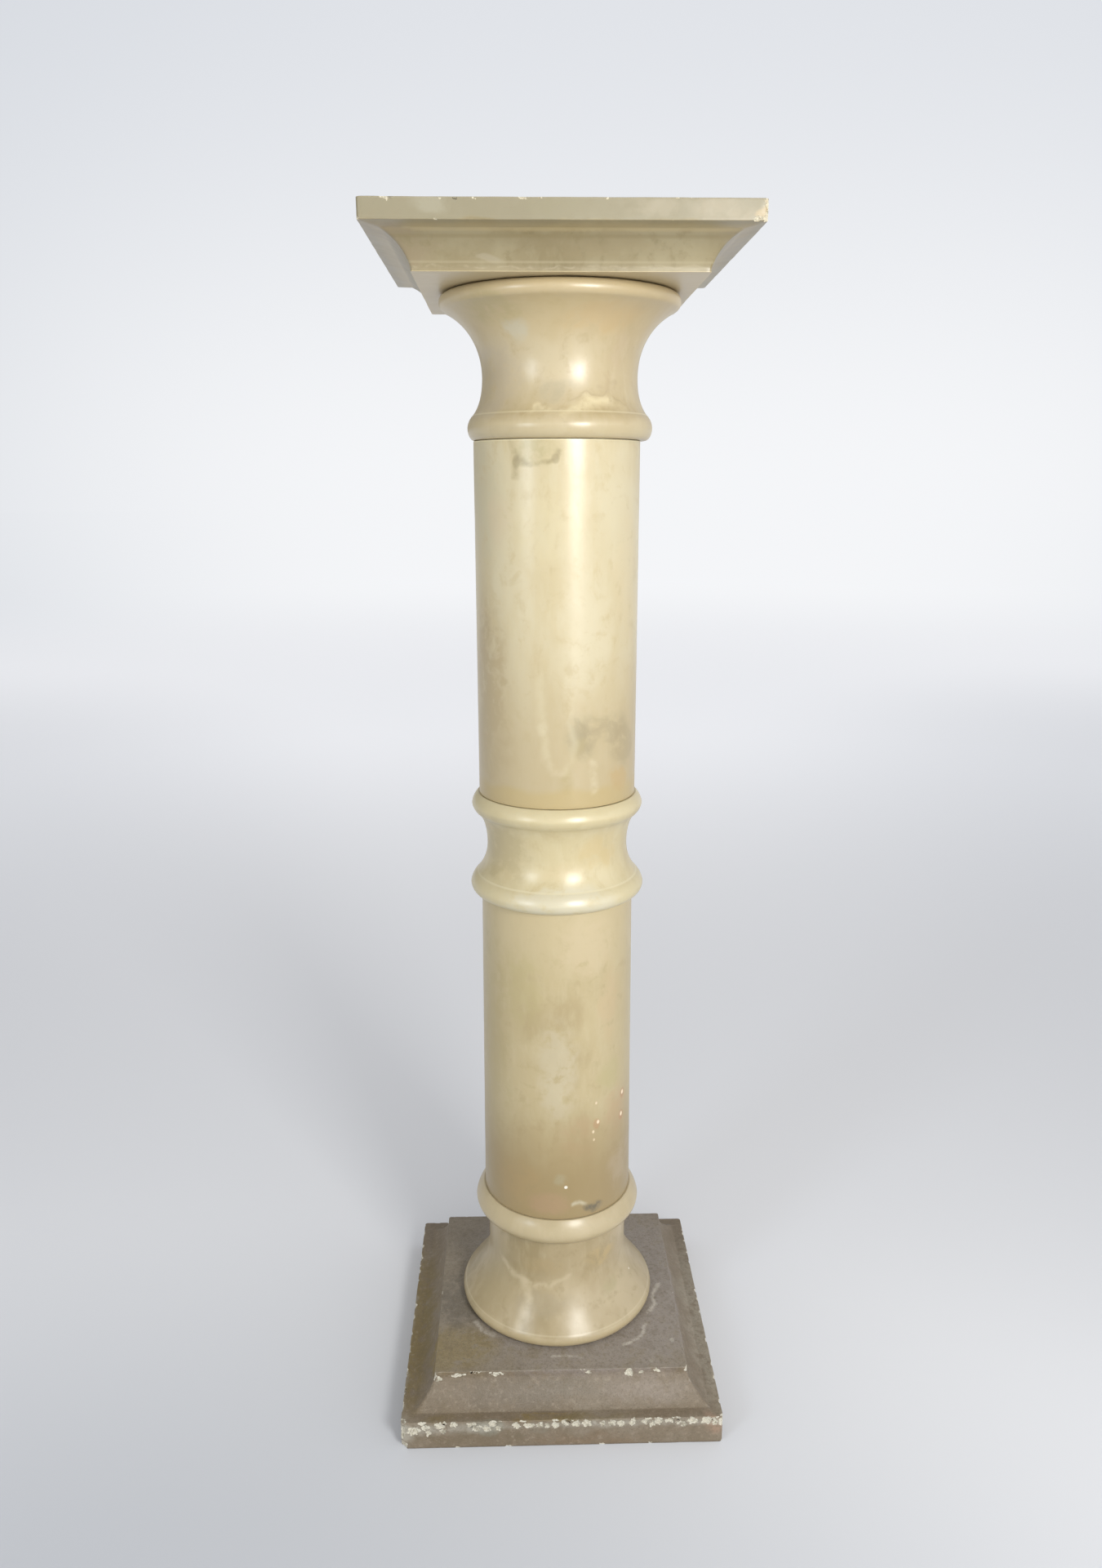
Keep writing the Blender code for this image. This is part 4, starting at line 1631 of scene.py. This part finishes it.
def top_slab_finish() -> OnyxFinish:
    """The table slab's olive-khaki onyx, paler on its face and warmer on its ledge."""
    fleck = (0.398, 0.307, 0.219)
    return OnyxFinish((0.31, 0.262, 0.152), (0.25, 0.202, 0.105), (0.205, 0.162, 0.075), (
        Level(984.0, 986.5, (0.25, 0.22, 0.14), 0.85),
        Ring(983.5, 2.4, (0.44, 0.345, 0.18), 0.6),
        Patch((-120, -110, 975), (40, 50, 22), (0.25, 0.19, 0.11), 0.6),
        Patch((125, -60, 975), (26, 90, 22), (0.291, 0.242, 0.173), 0.6),
        Patch((20, -112, 974), (70, 26, 9), (0.268, 0.212, 0.11), 0.5),
        Patch((62, -136, 993), (30, 8, 12), (0.306, 0.263, 0.173), 0.7),
        Patch((108, -136, 992), (26, 8, 12), (0.321, 0.271, 0.179), 0.7),
        Patch((-90, -136, 996), (18, 8, 8), (0.321, 0.292, 0.206), 0.7),
        Patch((-5, -136, 994), (26, 8, 12), (0.255, 0.225, 0.135), 0.6),
        Patch((-86, -111, 975), (9, 5, 3.5), fleck, 0.3),
        Patch((-84, -106, 966), (10, 4, 2.6), (0.383, 0.336, 0.239), 0.4),
        Patch((-53, -105, 965), (12, 4, 2.6), (0.383, 0.336, 0.239), 0.4),
        Patch((134, -134, 991), (9, 8, 6), (0.44, 0.33, 0.17), 0.6),
        # Pale lines on the fillet's front arris and the hollow's mitres: painted highlights
        Streak(((-103, -103.3, 962), (103, -103.3, 962)), 1.2, (0.383, 0.322, 0.206), 0.5),
        *(Streak(((side * 125, -122.4, 983), (side * 112, -110, 969),
                  (side * 105.9, -103.3, 961.5)), 1.4, (0.398, 0.336, 0.226), share)
          for side, share in ((-1, 0.5), (1, 0.6))),
        Ring(988.0, 0.8, (0.27, 0.235, 0.15), 0.35),
        # Dark line high in the hollow, under the ledge: painted shade
        Ring(979.5, 1.6, (0.235, 0.185, 0.09), 0.5),
        Ring(965.0, 1.2, (0.38, 0.325, 0.20), 0.4),
        # Pale lines round the face's arrises: wear with painted highlights
        Ring(985.6, 0.8, (0.321, 0.263, 0.159), 0.5),
        Ring(999.6, 0.8, (0.352, 0.314, 0.226), 0.5),
        # Pale ring on the underside round the capital's rim: painted light over the shade there
        Ring(958.8, 1.0, (0.50, 0.405, 0.235), 1.0),
    ), polish=0.34)


def base_flakes() -> list[Chip]:
    """The flakes knocked off the base, as the photograph shows them, and wear on its far sides."""
    front_out, left_out, right_out = -142.4, -142.6, 142.8
    depth, margin = 3.4, 0.6
    # Place along the front, height, width, tallness and tilt of each flake
    front = (
        (2.8, 24.5, 8, 8, 0), (12.2, 22.5, 6, 7, 0), (21.6, 23.0, 8, 7, 25), (35.6, 22.0, 4, 5, 0),
        (43.3, 22.5, 7, 6, 0), (51.5, 22.0, 6, 6, 10), (61.5, 23.5, 6, 9, 30),
        (73.8, 23.0, 9, 4, 0), (77.9, 21.0, 6, 6, 0), (84.0, 23.5, 7, 8, 0), (96.0, 24.0, 13, 4, 0),
        (101.0, 22.5, 6, 5, 0), (106.7, 19.0, 5, 5, 0), (113.7, 23.0, 10, 6, 0),
        (126.6, 23.5, 10, 8, 0), (133.0, 21.5, 5, 8, 0), (-6.0, 21.5, 5, 6, 0),
        (-13.0, 21.0, 3, 4, 0), (-20.0, 22.0, 6, 5, -20), (-29.0, 22.0, 9, 5, 0),
        (-40.0, 22.0, 7, 6, 0), (-60.6, 24.5, 8, 7, 0), (-66.0, 19.5, 7, 6, 0),
        (-56.0, 19.5, 4, 6, 0), (-79.0, 24.0, 10, 4, 0), (-75.0, 20.0, 8, 7, 0),
        (-94.6, 24.5, 7, 5, 0), (-107.0, 23.5, 10, 7, 0), (-104.0, 17.5, 6, 5, 0),
        (-119.0, 22.0, 7, 6, 0), (-117.0, 16.5, 5, 6, 0), (-130.0, 18.5, 12, 9, 0),
    )
    chips = [Chip((x, front_out, z), (wide / 2 + margin, depth, high / 2 + margin), tilt)
             for x, z, wide, high, tilt in front]
    chips += [
        Chip((-140.5, -140.5, 20), (4.5, 4.5, 10)), Chip((-141, -139, 29), (5, 5, 5)),
        Chip((-142, -142, 2), (7, 7, 7)), Chip((141.5, -141.5, 24), (4.5, 4.5, 9)),
        Chip((-113.5, -113.5, 50), (3.4, 3.4, 5)), Chip((-109, -114.2, 47.5), (4.5, 2.8, 2.2)),
        Chip((60.7, -114.0, 50), (4, 3.4, 4.6)), Chip((24.3, -114.0, 50.5), (3, 2.8, 2.6)),
        Chip((71.4, -114.0, 49.5), (3.6, 2.6, 1.8)), Chip((85.0, -113.6, 51.5), (3, 2.4, 2.4)),
        Chip((113.5, -113.5, 52), (4, 4, 4.5)), Chip((-92, -113.6, 50.5), (8, 2.0, 2.0)),
        Chip((-58, -113.6, 51), (7, 2.0, 2.2)),
    ]
    # Place along the side, height and length of each flake on the left and on the right
    left = ((-122, 25, 7), (-104, 26, 5), (-84, 24, 6), (-52, 26, 8), (-30, 25, 5), (8, 26, 7),
            (44, 25, 6), (81, 26, 7))
    right = ((-124, 25, 6), (-96, 26, 4), (-47, 25, 6), (22, 26, 5), (70, 25, 7))
    for out, tall, flakes in ((left_out, 3.4, left), (right_out, 3.2, right)):
        chips += [Chip((out, y, z), (depth, long, tall)) for y, z, long in flakes]
    for arris in (Arris(reach=140.9, height=27.0, nicks=44, longest=4.5, seed=3),
                  Arris(reach=112.5, height=54.0, nicks=22, longest=2.6, seed=4),
                  Arris(reach=140.9, height=0.6, nicks=16, longest=3.2, seed=5)):
        chips += arris.flakes()
    return chips


def top_flakes() -> list[Chip]:
    """The small flakes knocked off the table slab, the largest at its front right corner."""
    chips = [Chip((138.6, -136.0, 987.5), (4.5, 4.5, 5)), Chip((138.8, -136.2, 997), (4, 4, 5)),
             Chip((130.0, -136.8, 986.0), (4, 3, 2.6)), Chip((-118.0, -136.6, 999.5), (4, 2.6, 2.2)),
             Chip((-138.8, -136.2, 985.5), (3.4, 3.4, 3))]
    for arris in (Arris(reach=137.9, height=985.2, nicks=26, longest=2.6, seed=8, setback=2.6),
                  Arris(reach=137.9, height=999.8, nicks=30, longest=2.4, seed=9, setback=2.6)):
        chips += arris.flakes()
    return chips


def main() -> None:
    """Build and dress the stones in order, and set up the studio."""
    logging.basicConfig(level=logging.INFO, format="%(message)s")
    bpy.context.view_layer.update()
    bruised = BruisedFinish((0.62, 0.59, 0.50), (0.30, 0.27, 0.21))
    dusty = BruisedFinish((0.62, 0.57, 0.44), (0.42, 0.34, 0.22))
    stones: list[TurnedStone | MouldedSlab] = [
        BaseSlab(Stone.BASE_SLAB, base_slab_finish(), ChipSet(base_flakes(), bruised)),
        Foot(Stone.FOOT, foot_finish()),
        Drum(Stone.LOWER_DRUM, lower_drum_finish(), foot_radius=0.0684, top_radius=0.0667,
             length=0.2919),
        Collar(Stone.COLLAR, collar_finish()),
        Drum(Stone.UPPER_DRUM, upper_drum_finish()),
        Capital(Stone.CAPITAL, capital_finish()),
        TopSlab(Stone.TOP_SLAB, top_slab_finish(), ChipSet(top_flakes(), dusty)),
    ]
    for maker in stones:
        piece = maker.build()
        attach(piece, "root")
        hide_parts(maker.stone.value)
        log.info("%s: %d faces", piece.name, len(piece.data.polygons))
    Studio().build()


if __name__ == "__main__":
    main()
